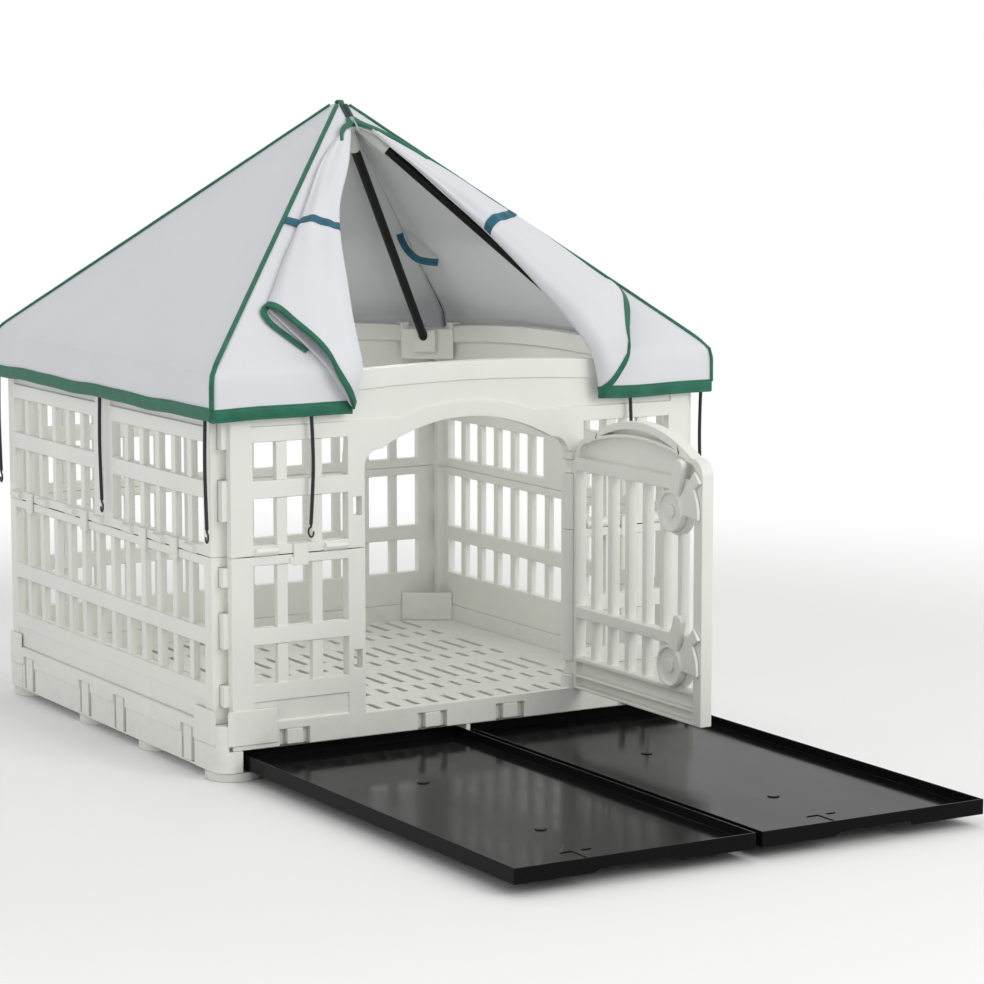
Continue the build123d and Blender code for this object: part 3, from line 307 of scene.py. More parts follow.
def tape(g: Graph, finish: Finish) -> None:
    """Woven binding: fine cross ribs and two rows of stitches near its edges."""
    along = g.node("SeparateXYZ", inputs={0: g.node("UVMap")})
    across = along.other(1)
    rib = g.math("SINE", along * (2 * math.pi / RIB))
    thread = g.math("SINE", across * (2 * math.pi / THREAD))
    dash = g.ramp(g.math("SINE", along * (2 * math.pi / STITCH)), -0.1, 0.3, 0.0, 1.0)
    edge = g.math("PINGPONG", across, TAPE_HALF)
    row = g.node("Math", operation="COMPARE", inputs={0: edge, 1: SEAM_IN, 2: SEAM_HALF})
    stitch = row * dash
    fade = g.noise(60.0, 3.0)
    plain = g.mix(g.ramp(fade, 0.3, 0.7, 0.0, 1.0), shade(finish.colour, 0.82),
                  shade(finish.colour, 1.22))
    thread_colour = shade([c + 0.02 for c in finish.colour], 1.9)
    g.plug(g.shader.inputs["Base Color"], g.mix(stitch * 0.55, plain, thread_colour))
    g.plug(g.shader.inputs["Roughness"],
           g.ramp(rib, -1.0, 1.0, finish.rough - 0.1, finish.rough + 0.1))
    low = g.bump(rib * 0.6 + thread * 0.4, 0.35, 0.00025)
    g.plug(g.shader.inputs["Normal"], g.bump(stitch, 0.6, 0.0006, low))
    g.shader.inputs["Sheen Weight"].default_value = 0.12


def metal(g: Graph, finish: Finish) -> None:
    """Coated or bare metal with fine scratches and a rubbed sheen."""
    rub = g.noise(40.0, 5.0, 0.7, (1.0, 1.0, 0.2))
    g.plug(g.shader.inputs["Base Color"],
           g.mix(g.ramp(rub, 0.35, 0.75, 0.0, 1.0), finish.colour,
                 shade([c + 0.004 for c in finish.colour], 1.5)))
    g.plug(g.shader.inputs["Roughness"],
           g.ramp(rub, 0.3, 0.7, finish.rough - 0.08, finish.rough + 0.14))
    g.plug(g.shader.inputs["Normal"], g.bump(g.noise(900.0, 3.0), 0.12, 0.0001))


def elastic(g: Graph, finish: Finish) -> None:
    """Braided elastic: a crossing rib under fine fuzz."""
    across = g.node("TexWave", out="Fac", bands_direction="Z", inputs={
        "Vector": g.place(), "Scale": 420.0, "Distortion": 1.5})
    fuzz = g.noise(1500.0, 3.0)
    g.plug(g.shader.inputs["Base Color"], g.mix(across, finish.colour, shade(finish.colour, 2.6)))
    g.plug(g.shader.inputs["Roughness"],
           g.ramp(fuzz, 0.3, 0.7, finish.rough - 0.1, finish.rough + 0.15))
    g.plug(g.shader.inputs["Normal"], g.bump(across, 0.5, 0.0004))
    g.shader.inputs["Sheen Weight"].default_value = 0.15


PAINT: dict[Kind, Callable[[Graph, Finish], None]] = {
    Kind.MOULDED: moulded, Kind.GLOSSY: glossy, Kind.CLOTH: cloth, Kind.TAPE: tape,
    Kind.METAL: metal, Kind.ELASTIC: elastic, Kind.ZIP: tape,
}


def make_materials() -> dict[str, bpy.types.Material]:
    """Builds one material for each slot.

    Returns:
        Materials by slot name.
    """
    made = {}
    for slot, finish in FINISHES.items():
        material = bpy.data.materials.new("pen_" + slot)
        g = Graph(material)
        g.shader.inputs["Metallic"].default_value = finish.metal
        g.shader.inputs["IOR"].default_value = finish.ior
        PAINT[finish.kind](g, finish)
        made[slot] = material
    return made


@dataclass(frozen=True)
class Cover:
    """Sizes of the cloth canopy, the same as the solids'."""

    x: float = 398.0
    y: float = 389.0
    hem: float = 493.0
    hem_h: float = 18.0
    shoulder: float = 556.0
    apex: float = 903.0
    cap: float = 8.0
    cloth: float = 1.4
    mouth_top: float = 872.0
    mouth_left: tuple = ((-189, 493), (-173, 571), (-135, 666), (-110, 727), (-70, 786),
                         (-31, 830), (0, 872))
    mouth_right: tuple = ((205, 493), (199, 549), (165, 640), (126, 718), (84, 780), (36, 849),
                          (0, 872))
    roll_left: tuple = (((-26, 862), (-12, 862), 5), ((-87, 817), (-42, 817), 10),
                        ((-142, 762), (-90, 760), 13), ((-180, 725), (-117, 712), 15),
                        ((-222, 686), (-138, 658), 20),
                        ((-252, 656), (-162, 596), 23), ((-277, 632), (-190, 500), 21))
    roll_right: tuple = (((22, 864), (36, 856), 4), ((74, 800), (112, 802), 9),
                         ((106, 755), (162, 757), 12), ((131, 714), (203, 720), 15),
                         ((166, 644), (268, 654), 21),
                         ((188, 590), (284, 642), 27), ((206, 500), (291, 629), 29))

    @property
    def rise(self) -> float:
        """Height of the slopes."""
        return self.apex - self.shoulder


C = Cover()


def unit(v: Points) -> Points:
    """Returns vectors of length one along the last axis."""
    return v / np.maximum(np.linalg.norm(v, axis=-1, keepdims=True), 1e-9)


def smooth_line(points: Sequence[Sequence[float]], count: int) -> Points:
    """Runs a Catmull-Rom curve through points.

    Args:
        points: The places it passes.
        count: How many samples to return.

    Returns:
        Samples, even in the curve's own parameter.
    """
    p = np.asarray(points, float)
    p = np.vstack([2 * p[0] - p[1], p, 2 * p[-1] - p[-2]])
    s = np.linspace(0, len(p) - 3 - 1e-9, count)
    i = s.astype(int)
    t = (s - i)[:, None]
    a, b, c, d = p[i], p[i + 1], p[i + 2], p[i + 3]
    return 0.5 * (2 * b + (c - a) * t + (2 * a - 5 * b + 4 * c - d) * t ** 2
                  + (3 * b - a - 3 * c + d) * t ** 3)


def lengths(line: Points) -> Points:
    """Returns how far along a line each of its points lies."""
    return np.r_[0, np.cumsum(np.linalg.norm(np.diff(line, axis=0), axis=1))]


def circle(count: int) -> Points:
    """Returns places round a circle of radius one."""
    return np.array([(math.cos(a), math.sin(a)) for a in np.linspace(0, 2 * np.pi, count + 1)[:-1]])


def ring_faces(rows: int, cols: int) -> list[list[int]]:
    """Joins stacked rings of points into a closed tube, with a cap at each end."""
    number = np.arange(rows * cols).reshape(rows, cols)
    turn = np.roll(number, -1, axis=1)
    quads = np.stack([number[:-1], turn[:-1], turn[1:], number[1:]], -1).reshape(-1, 4)
    return quads.tolist() + [number[0, ::-1].tolist(), number[-1].tolist()]


class Mesher:
    """Writes closed meshes with names, materials, bodies and map coordinates."""

    def __init__(self, materials: dict[str, bpy.types.Material],
                 nodes: dict[str, bpy.types.Object]) -> None:
        self.materials, self.nodes = materials, nodes

    def write(self, name: str, verts: Points, faces: list, uvs: Points | None, slot: str,
              body: str, smooth: bool = True) -> bpy.types.Object:
        """Makes one object from arrays.

        Args:
            name: Piece name.
            verts: Corners in millimetres.
            faces: Corner numbers of each face.
            uvs: Map place of each corner in metres, or None.
            slot: Material slot.
            body: Body it rides on.
            smooth: Whether it is shaded smooth.

        Returns:
            The object.
        """
        mesh = bpy.data.meshes.new(name)
        mesh.from_pydata((np.asarray(verts, float) * MM).tolist(), [], faces)
        mesh.validate()
        if uvs is not None:
            layer = mesh.uv_layers.new(name="UVMap")
            index = np.empty(len(mesh.loops), int)
            mesh.loops.foreach_get("vertex_index", index)
            layer.data.foreach_set("uv", np.asarray(uvs, float)[index].ravel())
        work = bmesh.new()
        work.from_mesh(mesh)
        bmesh.ops.remove_doubles(work, verts=work.verts, dist=1e-7)
        bmesh.ops.recalc_face_normals(work, faces=work.faces)
        work.to_mesh(mesh)
        work.free()
        mesh.polygons.foreach_set("use_smooth", [smooth] * len(mesh.polygons))
        return self.adopt(name, mesh, slot, body)

    def adopt(self, name: str, mesh: bpy.types.Mesh, slot: str, body: str) -> bpy.types.Object:
        """Turns a mesh into a piece of the pen."""
        mesh.materials.clear()
        mesh.materials.append(self.materials[slot])
        made = bpy.data.objects.new(name, mesh)
        bpy.context.scene.collection.objects.link(made)
        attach(made, body)
        return made

    def thick(self, name: str, grid: Points, thickness: float, slot: str, body: str,
              around: bool = False) -> bpy.types.Object:
        """Gives a grid of points a thickness and closes its rim.

        Args:
            name: Piece name.
            grid: Points by row and column.
            thickness: Cloth thickness.
            slot: Material slot.
            body: Body it rides on.
            around: Whether the columns join up into a loop.

        Returns:
            The object.
        """
        rows, cols = grid.shape[:2]
        du = np.gradient(grid, axis=1)
        if around:
            du[:, 0] = du[:, -1] = (grid[:, 1] - grid[:, -2]) / 2
        normal = unit(np.cross(du, np.gradient(grid, axis=0)))
        span = np.linalg.norm(np.diff(grid, axis=1), axis=2)
        run = np.linalg.norm(np.diff(grid, axis=0), axis=2)
        u = np.hstack([np.zeros((rows, 1)), np.cumsum(span, axis=1)])
        u = u - u[:, -1:] / 2
        v = np.vstack([np.zeros((1, cols)), np.cumsum(run, axis=0)])
        uv = np.stack([u, v], axis=-1).reshape(-1, 2) * MM
        sides = [grid + normal * (s * thickness / 2) for s in (1, -1)]
        verts = np.vstack([s.reshape(-1, 3) for s in sides])
        number = np.arange(rows * cols).reshape(rows, cols)
        quads = np.stack([number[:-1, :-1], number[:-1, 1:], number[1:, 1:], number[1:, :-1]], -1)
        quads = quads.reshape(-1, 4)
        faces = np.vstack([quads, quads[:, ::-1] + rows * cols])
        rims = [number[0, ::-1], number[-1]]
        if not around:
            rims += [number[:, 0], number[::-1, -1]]
        for rim in rims:
            a, b = rim[:-1], rim[1:]
            faces = np.vstack([faces, np.stack([a, b, b + rows * cols, a + rows * cols], -1)])
        return self.write(name, verts, faces.tolist(), np.vstack([uv, uv]), slot, body)

    def sweep(self, name: str, path: Points, up: Points, profile: Points, slot: str,
              body: str) -> bpy.types.Object:
        """Runs a closed profile along a path.

        Args:
            name: Piece name.
            path: Places along the path.
            up: The profile's second axis at each place.
            profile: Closed outline, as (side, up) pairs.
            slot: Material slot.
            body: Body it rides on.

        Returns:
            The object.
        """
        along = unit(np.gradient(path, axis=0))
        side = unit(np.cross(along, up))
        top = np.cross(side, along)
        rings = (path[:, None] + side[:, None] * profile[None, :, :1]
                 + top[:, None] * profile[None, :, 1:2])
        rows, cols = rings.shape[:2]
        u = np.repeat(lengths(path)[:, None], cols, axis=1)
        v = np.repeat((profile[:, 1] - profile[:, 1].min())[None], rows, axis=0)
        uv = np.stack([u, v], -1).reshape(-1, 2) * MM
        return self.write(name, rings.reshape(-1, 3), ring_faces(rows, cols), uv, slot, body)

    def soften(self, node: str, name: str, slot: str, body: str, width: float,
               steps: int) -> bpy.types.Object:
        """Copies a rigid node with eased edges, and shows the copy in its place.

        Args:
            node: The node to copy.
            name: Name of the new piece.
            slot: Material slot.
            body: Body it rides on.
            width: Width of the eased edge in millimetres.
            steps: How many faces round an edge has.

        Returns:
            The object.
        """
        work = bmesh.new()
        work.from_mesh(self.nodes[node].data)
        bmesh.ops.remove_doubles(work, verts=work.verts, dist=WELD)
        bmesh.ops.dissolve_limit(work, angle_limit=FLAT_ANGLE, verts=work.verts, edges=work.edges)
        bmesh.ops.triangulate(work, faces=work.faces, quad_method="BEAUTY", ngon_method="BEAUTY")
        mesh = bpy.data.meshes.new(name)
        work.to_mesh(mesh)
        work.free()
        temp = bpy.data.objects.new(name + "_work", mesh)
        bpy.context.scene.collection.objects.link(temp)
        bevel = temp.modifiers.new("ease", "BEVEL")
        bevel.width, bevel.segments = width * MM, steps
        bevel.limit_method, bevel.angle_limit = "ANGLE", EASE_ANGLE
        bevel.use_clamp_overlap, bevel.loop_slide = False, False
        temp.modifiers.new("even", "WEIGHTED_NORMAL").keep_sharp = False
        mesh.polygons.foreach_set("use_smooth", [True] * len(mesh.polygons))
        bpy.context.view_layer.update()
        graph = bpy.context.evaluated_depsgraph_get()
        baked = bpy.data.meshes.new_from_object(temp.evaluated_get(graph))
        bpy.data.objects.remove(temp)
        made = self.adopt(name, baked, slot, body)
        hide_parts(node)
        return made


def level(t: Points) -> tuple[Points, Points]:
    """Maps 0..1 up the cover to (share of the way in, height).

    Args:
        t: 0 at the hem, 1 at the apex.

    Returns:
        The share q of the slope passed, and the height z. Round the shoulder both ease.
    """
    t = np.asarray(t, float)
    upright = 0.13
    q = np.clip((t - upright) / (1 - upright), 0, 1)
    z = np.where(t < upright, C.hem + (C.shoulder - C.hem) * t / upright, C.shoulder + C.rise * q)
    near = np.exp(-((t - upright) / 0.022) ** 2)
    return q + 0.006 * near, z - 2.2 * near


def gore(name: str, rows: int = 60, cols: int = 61) -> Points:
    """Returns the outer cloth of a plain side of the canopy, hem first.

    Args:
        name: left, right or back.
        rows: Samples from hem to apex.
        cols: Samples from hip to hip.

    Returns:
        Points by row and column.
    """
    t = np.r_[np.linspace(0, 0.10, 7)[:-1], np.linspace(0.10, 0.17, 12)[:-1],
              np.linspace(0.17, 1, rows - 17)]
    q, z = level(t)
    x, y = C.x - (C.x - C.cap) * q, C.y - (C.y - C.cap) * q
    u = np.linspace(-1, 1, cols)[None, :]
    q, z, t = q[:, None], z[:, None], t[:, None]
    seed = {"left": 0.3, "right": 1.9, "back": 3.1}[name]
    side = np.clip(1 - np.abs(u) ** 2.4, 0, 1)
    sag = 7.5 * np.sin(np.pi * np.clip(q, 0, 1)) ** 0.9 * side
    fold = (1.5 * np.sin(7 * u + 6 * q + seed) * side * np.exp(-1.6 * q)
            + 1.2 * np.sin(4.1 * u - 9 * q) * side)
    pull = (1.3 * np.sin(26 * (1 - np.abs(u)) * (1 - q) + seed) * np.exp(-6 * (1 - np.abs(u)))
            * np.sin(np.pi * np.clip(q, 0, 1)))
    lower = np.clip(1 - t / 0.13, 0, 1)
    free = np.clip((z - C.hem - C.hem_h) / 22.0, 0, 1)
    wave = 1.4 * np.sin(3.2 * np.pi * u + seed) * lower * side * free
    inward = (sag + fold + pull) * free + wave
    out = np.array((C.rise, C.x - C.cap)) / math.hypot(C.rise, C.x - C.cap)
    on_slope = np.clip(t / 0.13 - 0.9, 0, 1)
    off, down = inward * (out[0] * on_slope + (1 - on_slope)), inward * out[1] * on_slope
    if name == "back":
        place = (-(x[:, None]) * u, y[:, None] - off, z - down + 0 * u)
    else:
        sign = -1 if name == "left" else 1
        place = (sign * (x[:, None] - off), sign * y[:, None] * u, z - down + 0 * u)
    return np.stack(np.broadcast_arrays(*place), axis=-1)


def front_y(z: Points) -> Points:
    """Returns how far forward the canopy's front is at a height."""
    z = np.asarray(z, float)
    slope = C.y - (C.y - C.cap) * (z - C.shoulder) / C.rise
    flat = C.y + 0 * z
    gap = flat - slope
    return -(0.5 * (flat + slope) - 0.5 * np.sqrt(gap ** 2 + 60.0) + 1.0)


def front_point(x: Points, z: Points, out: Points | float = 0.0) -> Points:
    """Returns places on the canopy's front, moved outwards."""
    x, z = np.broadcast_arrays(np.asarray(x, float), np.asarray(z, float))
    y = front_y(z)
    dz = 1.0
    dy = (front_y(z + dz) - front_y(z - dz)) / (2 * dz)
    normal = unit(np.stack([0 * y, -np.ones_like(y), dy], axis=-1))
    return np.stack([x, y, z], axis=-1) + normal * np.asarray(out, float)[..., None]


def hip_x(z: Points) -> Points:
    """Returns half the canopy's width at a height."""
    return np.where(z < C.shoulder, C.x, C.x - (C.x - C.cap) * (z - C.shoulder) / C.rise)


def hem_line() -> Points:
    """Returns the hem's line round the pen, from the mouth's left end to its right end."""
    x, y, r = C.x + 0.7, C.y + 0.7, 4.0
    stops = [np.array([[C.mouth_left[0][0], -y]])]
    for sx, sy, start in ((-1, -1, 270), (-1, 1, 180), (1, 1, 90), (1, -1, 0)):
        a = np.radians(start - np.arange(0, 91, 15))
        stops.append(np.column_stack([sx * (x - r) + r * np.cos(a), sy * (y - r) + r * np.sin(a)]))
    stops.append(np.array([[C.mouth_right[0][0] + 1, -y]]))
    line = [stops[0]]
    for before, after in zip(stops, stops[1:]):
        steps = np.linspace(0, 1, max(3, int(np.linalg.norm(after[0] - before[-1]) / 12)))[1:-1, None]
        line += [before[-1] * (1 - steps) + after[0] * steps, after]
    return np.vstack(line)


def roll_rows(table: Sequence, count: int) -> tuple[Points, Points, Points]:
    """Smooths a rolled flap's sections along its length.

    Args:
        table: Sections as ((x, z), (x, z), bulge).
        count: How many rows to return.

    Returns:
        Left ends, right ends and bulges.
    """
    flat = [(*left, *right, bulge) for left, right, bulge in table]
    rows = smooth_line(flat, count)
    return rows[:, :2], rows[:, 2:4], rows[:, 4]


def roll_grid(table: Sequence, rows: int = 72, cols: int = 49, lift: float = 0.0) -> Points:
    """Returns a flap rolled back into a flattened, tapering tube, open below.

    Args:
        table: Its sections.
        rows: Samples along it.
        cols: Samples round it.
        lift: How far to move the surface outwards.

    Returns:
        Points by row and column, the columns going once round.
    """
    left, right, bulge = roll_rows(table, rows)
    turn = np.linspace(0, 2 * np.pi, cols)[None, :]
    share = (1 - np.sign(np.cos(turn)) * np.abs(np.cos(turn)) ** 0.9) / 2
    x = left[:, :1] * (1 - share) + right[:, :1] * share
    z = left[:, 1:] * (1 - share) + right[:, 1:] * share
    along = np.linspace(0, 1, rows)[:, None]
    height = np.abs(np.sin(turn)) ** (0.62 + 0.25 * along) * bulge[:, None]
    wrinkle = (1.1 * np.sin(4 * turn + 7 * along) * np.sin(np.pi * along)
               + 0.8 * np.sin(8 * turn - 5 * along + 1))
    wrinkle = wrinkle + (1.6 * np.sin(15 * along + 2.2 * turn) * np.abs(np.sin(turn))
                         * np.sin(np.pi * along))
    outside = np.sin(turn) >= 0
    out = np.where(outside, 1.8 + height + wrinkle * (height > 2), 1.8 + 0.06 * height)
    return front_point(x, z, out + np.where(outside, lift, -0.2 * lift))


class Canopy:
    """The cloth cover with its bindings, straps, zip and ties."""

    def __init__(self, mesher: Mesher) -> None:
        self.m = mesher

    def sheet(self, grid: Points) -> None:
        """Takes the two diagonals of each cell of a cloth piece's grid, and keeps nothing."""
        a = grid[1:, 1:] - grid[:-1, :-1]
        b = grid[1:, :-1] - grid[:-1, 1:]

    def gores(self) -> None:
        """Builds the three plain sides."""
        for name in ("left", "right", "back"):
            grid = gore(name)
            piece = self.m.thick(f"cloth_{name}", grid, C.cloth, "canopy_cloth", "canopy")
            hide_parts(f"canopy_{name}")
            self.sheet(grid)

    def front(self) -> None:
        """Builds the two front halves: a flat panel and the part rolled back over it."""
        for side, mouth, table, node in ((-1, C.mouth_left, C.roll_left, "flap_left"),
                                         (1, C.mouth_right, C.roll_right, "flap_right")):
            edge = smooth_line(mouth, 240)
            order = np.argsort(edge[:, 1])
            z = np.r_[np.linspace(C.hem, C.shoulder + 20, 24)[:-1],
                      np.linspace(C.shoulder + 20, C.mouth_top - 1, 44)]
            inner = np.interp(z, edge[order, 1], edge[order, 0]) + side * 4.0
            z = np.r_[z, np.linspace(C.mouth_top + 1, C.apex, 8)]
            inner = np.r_[inner, np.full(8, side * 0.2)]
            outer = side * (hip_x(z) - 0.4)
            u = np.linspace(0, 1, 22)[None, :]
            x = outer[:, None] * (1 - u) + inner[:, None] * u
            up = np.clip((z[:, None] - C.hem) / 400, 0, 1)
            sag = -1.5 * np.sin(np.pi * u) * np.sin(np.pi * up)
            grid = front_point(x, z[:, None] + 0 * u, sag - 0.2)
            grid = grid[:, ::-1] if side > 0 else grid
            name = "left" if side < 0 else "right"
            panel = self.m.thick(f"front_panel_{name}", grid, C.cloth, "canopy_cloth", "canopy")
            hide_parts(node)
            self.sheet(grid)
            roll = roll_grid(table)
            piece = self.m.thick(f"front_roll_{name}", roll, C.cloth, "canopy_cloth", "canopy",
                                 around=True)
            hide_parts(node)
            self.sheet(roll)
            self.rim(name, table)

    def rim(self, name: str, table: Sequence) -> None:
        """Binds the lower, open end of a rolled flap."""
        grid = roll_grid(table, rows=480, cols=97)[:, :49]
        run = np.linalg.norm(np.diff(grid, axis=0), axis=2)[::-1].cumsum(axis=0)[::-1]
        run = np.vstack([run, np.zeros((1, 49))])
        steps = np.linspace(9.5, -0.9, 8)
        band = np.empty((8, 49, 3))
        for col in range(49):
            for k in range(3):
                band[:, col, k] = np.interp(-steps, -run[:, col], grid[:, col, k])
        band[-1] += unit(grid[-1] - grid[-12]) * 0.9
        piece = self.m.thick(f"rim_binding_{name}", band, 4.4, "green_binding", "canopy")
        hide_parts("fold_binding")
        if name == "left":
            line = smooth_line([(-274, 634), (-284, 626), (-281, 613), (-268, 599), (-254, 585),
                                (-245, 577)], 30)
        else:
            line = smooth_line([(289, 632), (295, 624), (291, 612), (283, 600), (276, 590)], 30)
        path = front_point(line[:, 0], line[:, 1], np.linspace(4.2, 2.2, 30))
        cross = unit(np.cross(np.gradient(path, axis=0), np.array([0.0, -0.67, 0.74]))) * 4.4
        self.m.thick(f"rim_inner_{name}", np.stack([path - cross, path, path + cross]), 1.3,
                     "green_binding", "canopy")

    def bindings(self) -> None:
        """Builds the hem band and the piping along the hips."""
        path = hem_line()
        u = np.linspace(0, 1, len(path))
        lift = 0.9 * np.sin(2 * np.pi * u * 11) + 0.5 * np.sin(2 * np.pi * u * 23 + 1)
        path = np.column_stack([path, C.hem + C.hem_h / 2 - 1.0 + lift])
        h, w = C.hem_h / 2, 1.9
        profile = np.array([(-w, -h + 1), (-w + 0.8, -h), (w - 0.8, -h), (w, -h + 1),
                            (w, h - 0.6), (w - 0.6, h), (-w + 0.6, h), (-w, h - 0.6)])
        up = np.tile([0.0, 0.0, 1.0], (len(path), 1))
        piece = self.m.sweep("hem_band", path, up, profile, "green_binding", "canopy")
        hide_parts("hem_binding")
        t = np.r_[np.linspace(0.03, 0.10, 8)[:-1], np.linspace(0.10, 0.17, 16)[:-1],
                  np.linspace(0.17, 0.995, 60)]
        q, zz = level(t)
        oval = circle(12) * (3.6, 2.4)
        for tag, sx, sy in (("fl", -1, -1), ("fr", 1, -1), ("bl", -1, 1), ("br", 1, 1)):
            hx, hy = C.x - (C.x - C.cap) * q, C.y - (C.y - C.cap) * q
            ease = np.clip((t - 0.095) / 0.07, 0, 1)
            out = unit(np.stack([sx * 0.55 + 0 * q, sy * 0.55 + 0 * q,
                                 0.02 + 0.73 * ease ** 2 * (3 - 2 * ease)], -1))
            wobble = 0.4 * np.sin(t * 60 + sx)
            line = np.stack([sx * hx, sy * hy, zz], -1) + out * (0.9 + wobble[:, None] * 0.3)
            piece = self.m.sweep(f"hip_{tag}", line, out, oval, "green_binding", "canopy")
            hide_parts("hip_piping")

    def strap(self, name: str, table: Sequence, row: Sequence[float], start: Sequence[float],
              node: str, flip: bool) -> None:
        """Builds a strap from a hip over a rolled flap and round its edge.

        Args:
            name: Piece name.
            table: The flap's sections.
            row: The sections it lies on at the hip and at the mouth.
            start: Where it is sewn, as (x, z).
            node: The node it stands for.
            flip: Whether the hip is on the flap's right.
        """
        grid = roll_grid(table, rows=601, cols=97, lift=1.3)
        cols = np.arange(0, 56) if not flip else np.arange(48, -8, -1) % 97
        cols = np.where((cols > 48) & flip, cols - 1, cols)
        slant = np.linspace(row[0], row[1], len(cols)) / (len(table) - 1) * 600
        strip = np.empty((9, len(cols), 3))
        for i, col in enumerate(cols):
            line = grid[:, col]
            step = lengths(line)
            at = np.interp(slant[i], np.arange(601), step) + np.linspace(-7.2, 7.2, 9)
            strip[:, i] = np.column_stack([np.interp(at, step, line[:, k]) for k in range(3)])
        sewn = front_point(*start, 2.2) + (strip[:, 0] - strip[:, 0].mean(axis=0))
        lead = np.linspace(0, 1, 7)[:-1][None, :, None]
        strip = np.concatenate([sewn[:, None] * (1 - lead) + strip[:, :1] * lead, strip], axis=1)
        piece = self.m.thick(name, strip, 1.3, "teal_strap", "canopy")
        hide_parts(node)

    def inner_strap(self) -> None:
        """Builds the strap that hangs inside the right-hand side."""
        path = smooth_line([(226, 219, 703), (231, 216, 696), (240, 208, 681), (253, 199, 668),
                            (268, 190, 662), (277, 186, 658)], 40)
        droop = 6.0 + 5.0 * np.sin(np.linspace(0, np.pi, 40))
        path = path - np.array([1.0, 0.0, 1.0]) * droop[:, None]
        width = unit(np.cross(np.gradient(path, axis=0), np.array([-0.75, -0.60, -0.30]))) * 6.0
        strip = np.stack([path - width, path, path + width])
        piece = self.m.thick("strap_inside", strip, 1.2, "teal_strap", "canopy")
        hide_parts("inner_strap")

    def zip(self) -> None:
        """Builds the zip's tape, teeth and facings at the top of the mouth, and the tab."""
        z = np.linspace(C.mouth_top - 2, C.apex - 1, 20)
        x = np.linspace(-6.5, 6.5, 7)
        grid = front_point(x[None, :], z[:, None], 1.9)
        piece = self.m.thick("zip_tape_cloth", grid, 1.1, "zip_black", "canopy")
        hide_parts("zip_tape")
        box = np.array([(dx, dy, dz) for dx in (-1.3, 1.3) for dy in (-0.7, 0.7)
                        for dz in (-0.55, 0.55)])
        sides = ((0, 1, 3, 2), (4, 6, 7, 5), (0, 4, 5, 1), (2, 3, 7, 6), (0, 2, 6, 4), (1, 5, 7, 3))
        teeth, faces = [], []
        for i, zt in enumerate(np.arange(C.mouth_top - 1, C.apex - 3, 1.7)):
            side = 1 if i % 2 else -1
            c = front_point(np.array([side * 0.9]), np.array([zt]), np.array([3.0]))[0]
            base = len(teeth) * 8
            teeth.append(c + box)
            faces += [[base + k for k in side_face] for side_face in sides]
        self.m.write("zip_teeth", np.vstack(teeth), faces, None, "zip_black", "canopy", smooth=False)
        for name, line in (("left", [(-2, 880), (-8, 872), (-20, 866), (-31, 857), (-38, 845)]),
                           ("right", [(2, 880), (12, 872), (30, 863), (50, 850), (70, 834),
                                      (88, 818)])):
            edge = smooth_line(line, 28)
            path = front_point(edge[:, 0], edge[:, 1], np.linspace(3.0, 9.5, 28))
            taper = np.linspace(6.0, 2.2, 28)[:, None]
            cross = unit(np.cross(np.gradient(path, axis=0), np.array([0.0, -0.67, 0.74])))
            strip = np.stack([path - cross * taper, path, path + cross * taper])
            self.m.thick(f"mouth_facing_{name}", strip, 1.2, "green_binding", "canopy")
        line = smooth_line([(-6.0, -7.0, C.apex - 1.0), (-5.5, -4.0, C.apex + 3.0),
                            (-5.0, 0.0, C.apex + 5.5), (-5.0, 4.0, C.apex + 4.0),
                            (-5.0, 7.0, C.apex)], 14)
        strip = np.stack([line, line + [5, 0, 0.4], line + [10, 0, 0]])
        self.m.thick("apex_tab", strip, 1.4, "green_binding", "canopy")

    def slider(self) -> None:
        """Builds the zip's slider and its pull."""
        across = np.array([1.0, 0, 0])
        seat, ahead = front_point(np.zeros(2), C.mouth_top + np.array([5.0, 15.0]), np.full(2, 4.6))
        along = unit(ahead - seat)
        out = unit(np.cross(across, along))
        s = np.linspace(-6, 6, 13)
        ring = circle(16)
        width = 3.4 + 0.9 * np.tanh(s / 3)
        body = ((seat + along * s[:, None])[:, None]
                + across * (ring[None, :, :1] * width[:, None, None]) + out * (ring[None, :, 1:] * 1.6))
        self.tube("zip_body", body, "zip_metal", "zip_slider", "zip_slider")
        path = smooth_line([seat - along * down + out * up for down, up in
                            ((2, 1.8), (9, 2.6), (17, 2.4), (25, 1.8))], 24)
        wide = np.interp(np.linspace(0, 1, 24), [0, 0.12, 0.5, 0.85, 1], [1.4, 1.7, 2.0, 2.9, 1.6])
        body = (path[:, None] + across * (ring[None, :, :1] * wide[:, None, None])
                + out * (ring[None, :, 1:] * 0.8))
        self.tube("zip_pull", body, "zip_metal", "zip_slider", "zip_slider")

    def tube(self, name: str, rings: Points, slot: str, body: str, node: str) -> bpy.types.Object:
        """Closes a stack of rings into one solid that takes a node's place."""
        faces = ring_faces(*rings.shape[:2])
        piece = self.m.write(name, rings.reshape(-1, 3), faces, None, slot, body)
        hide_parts(node)
        return piece

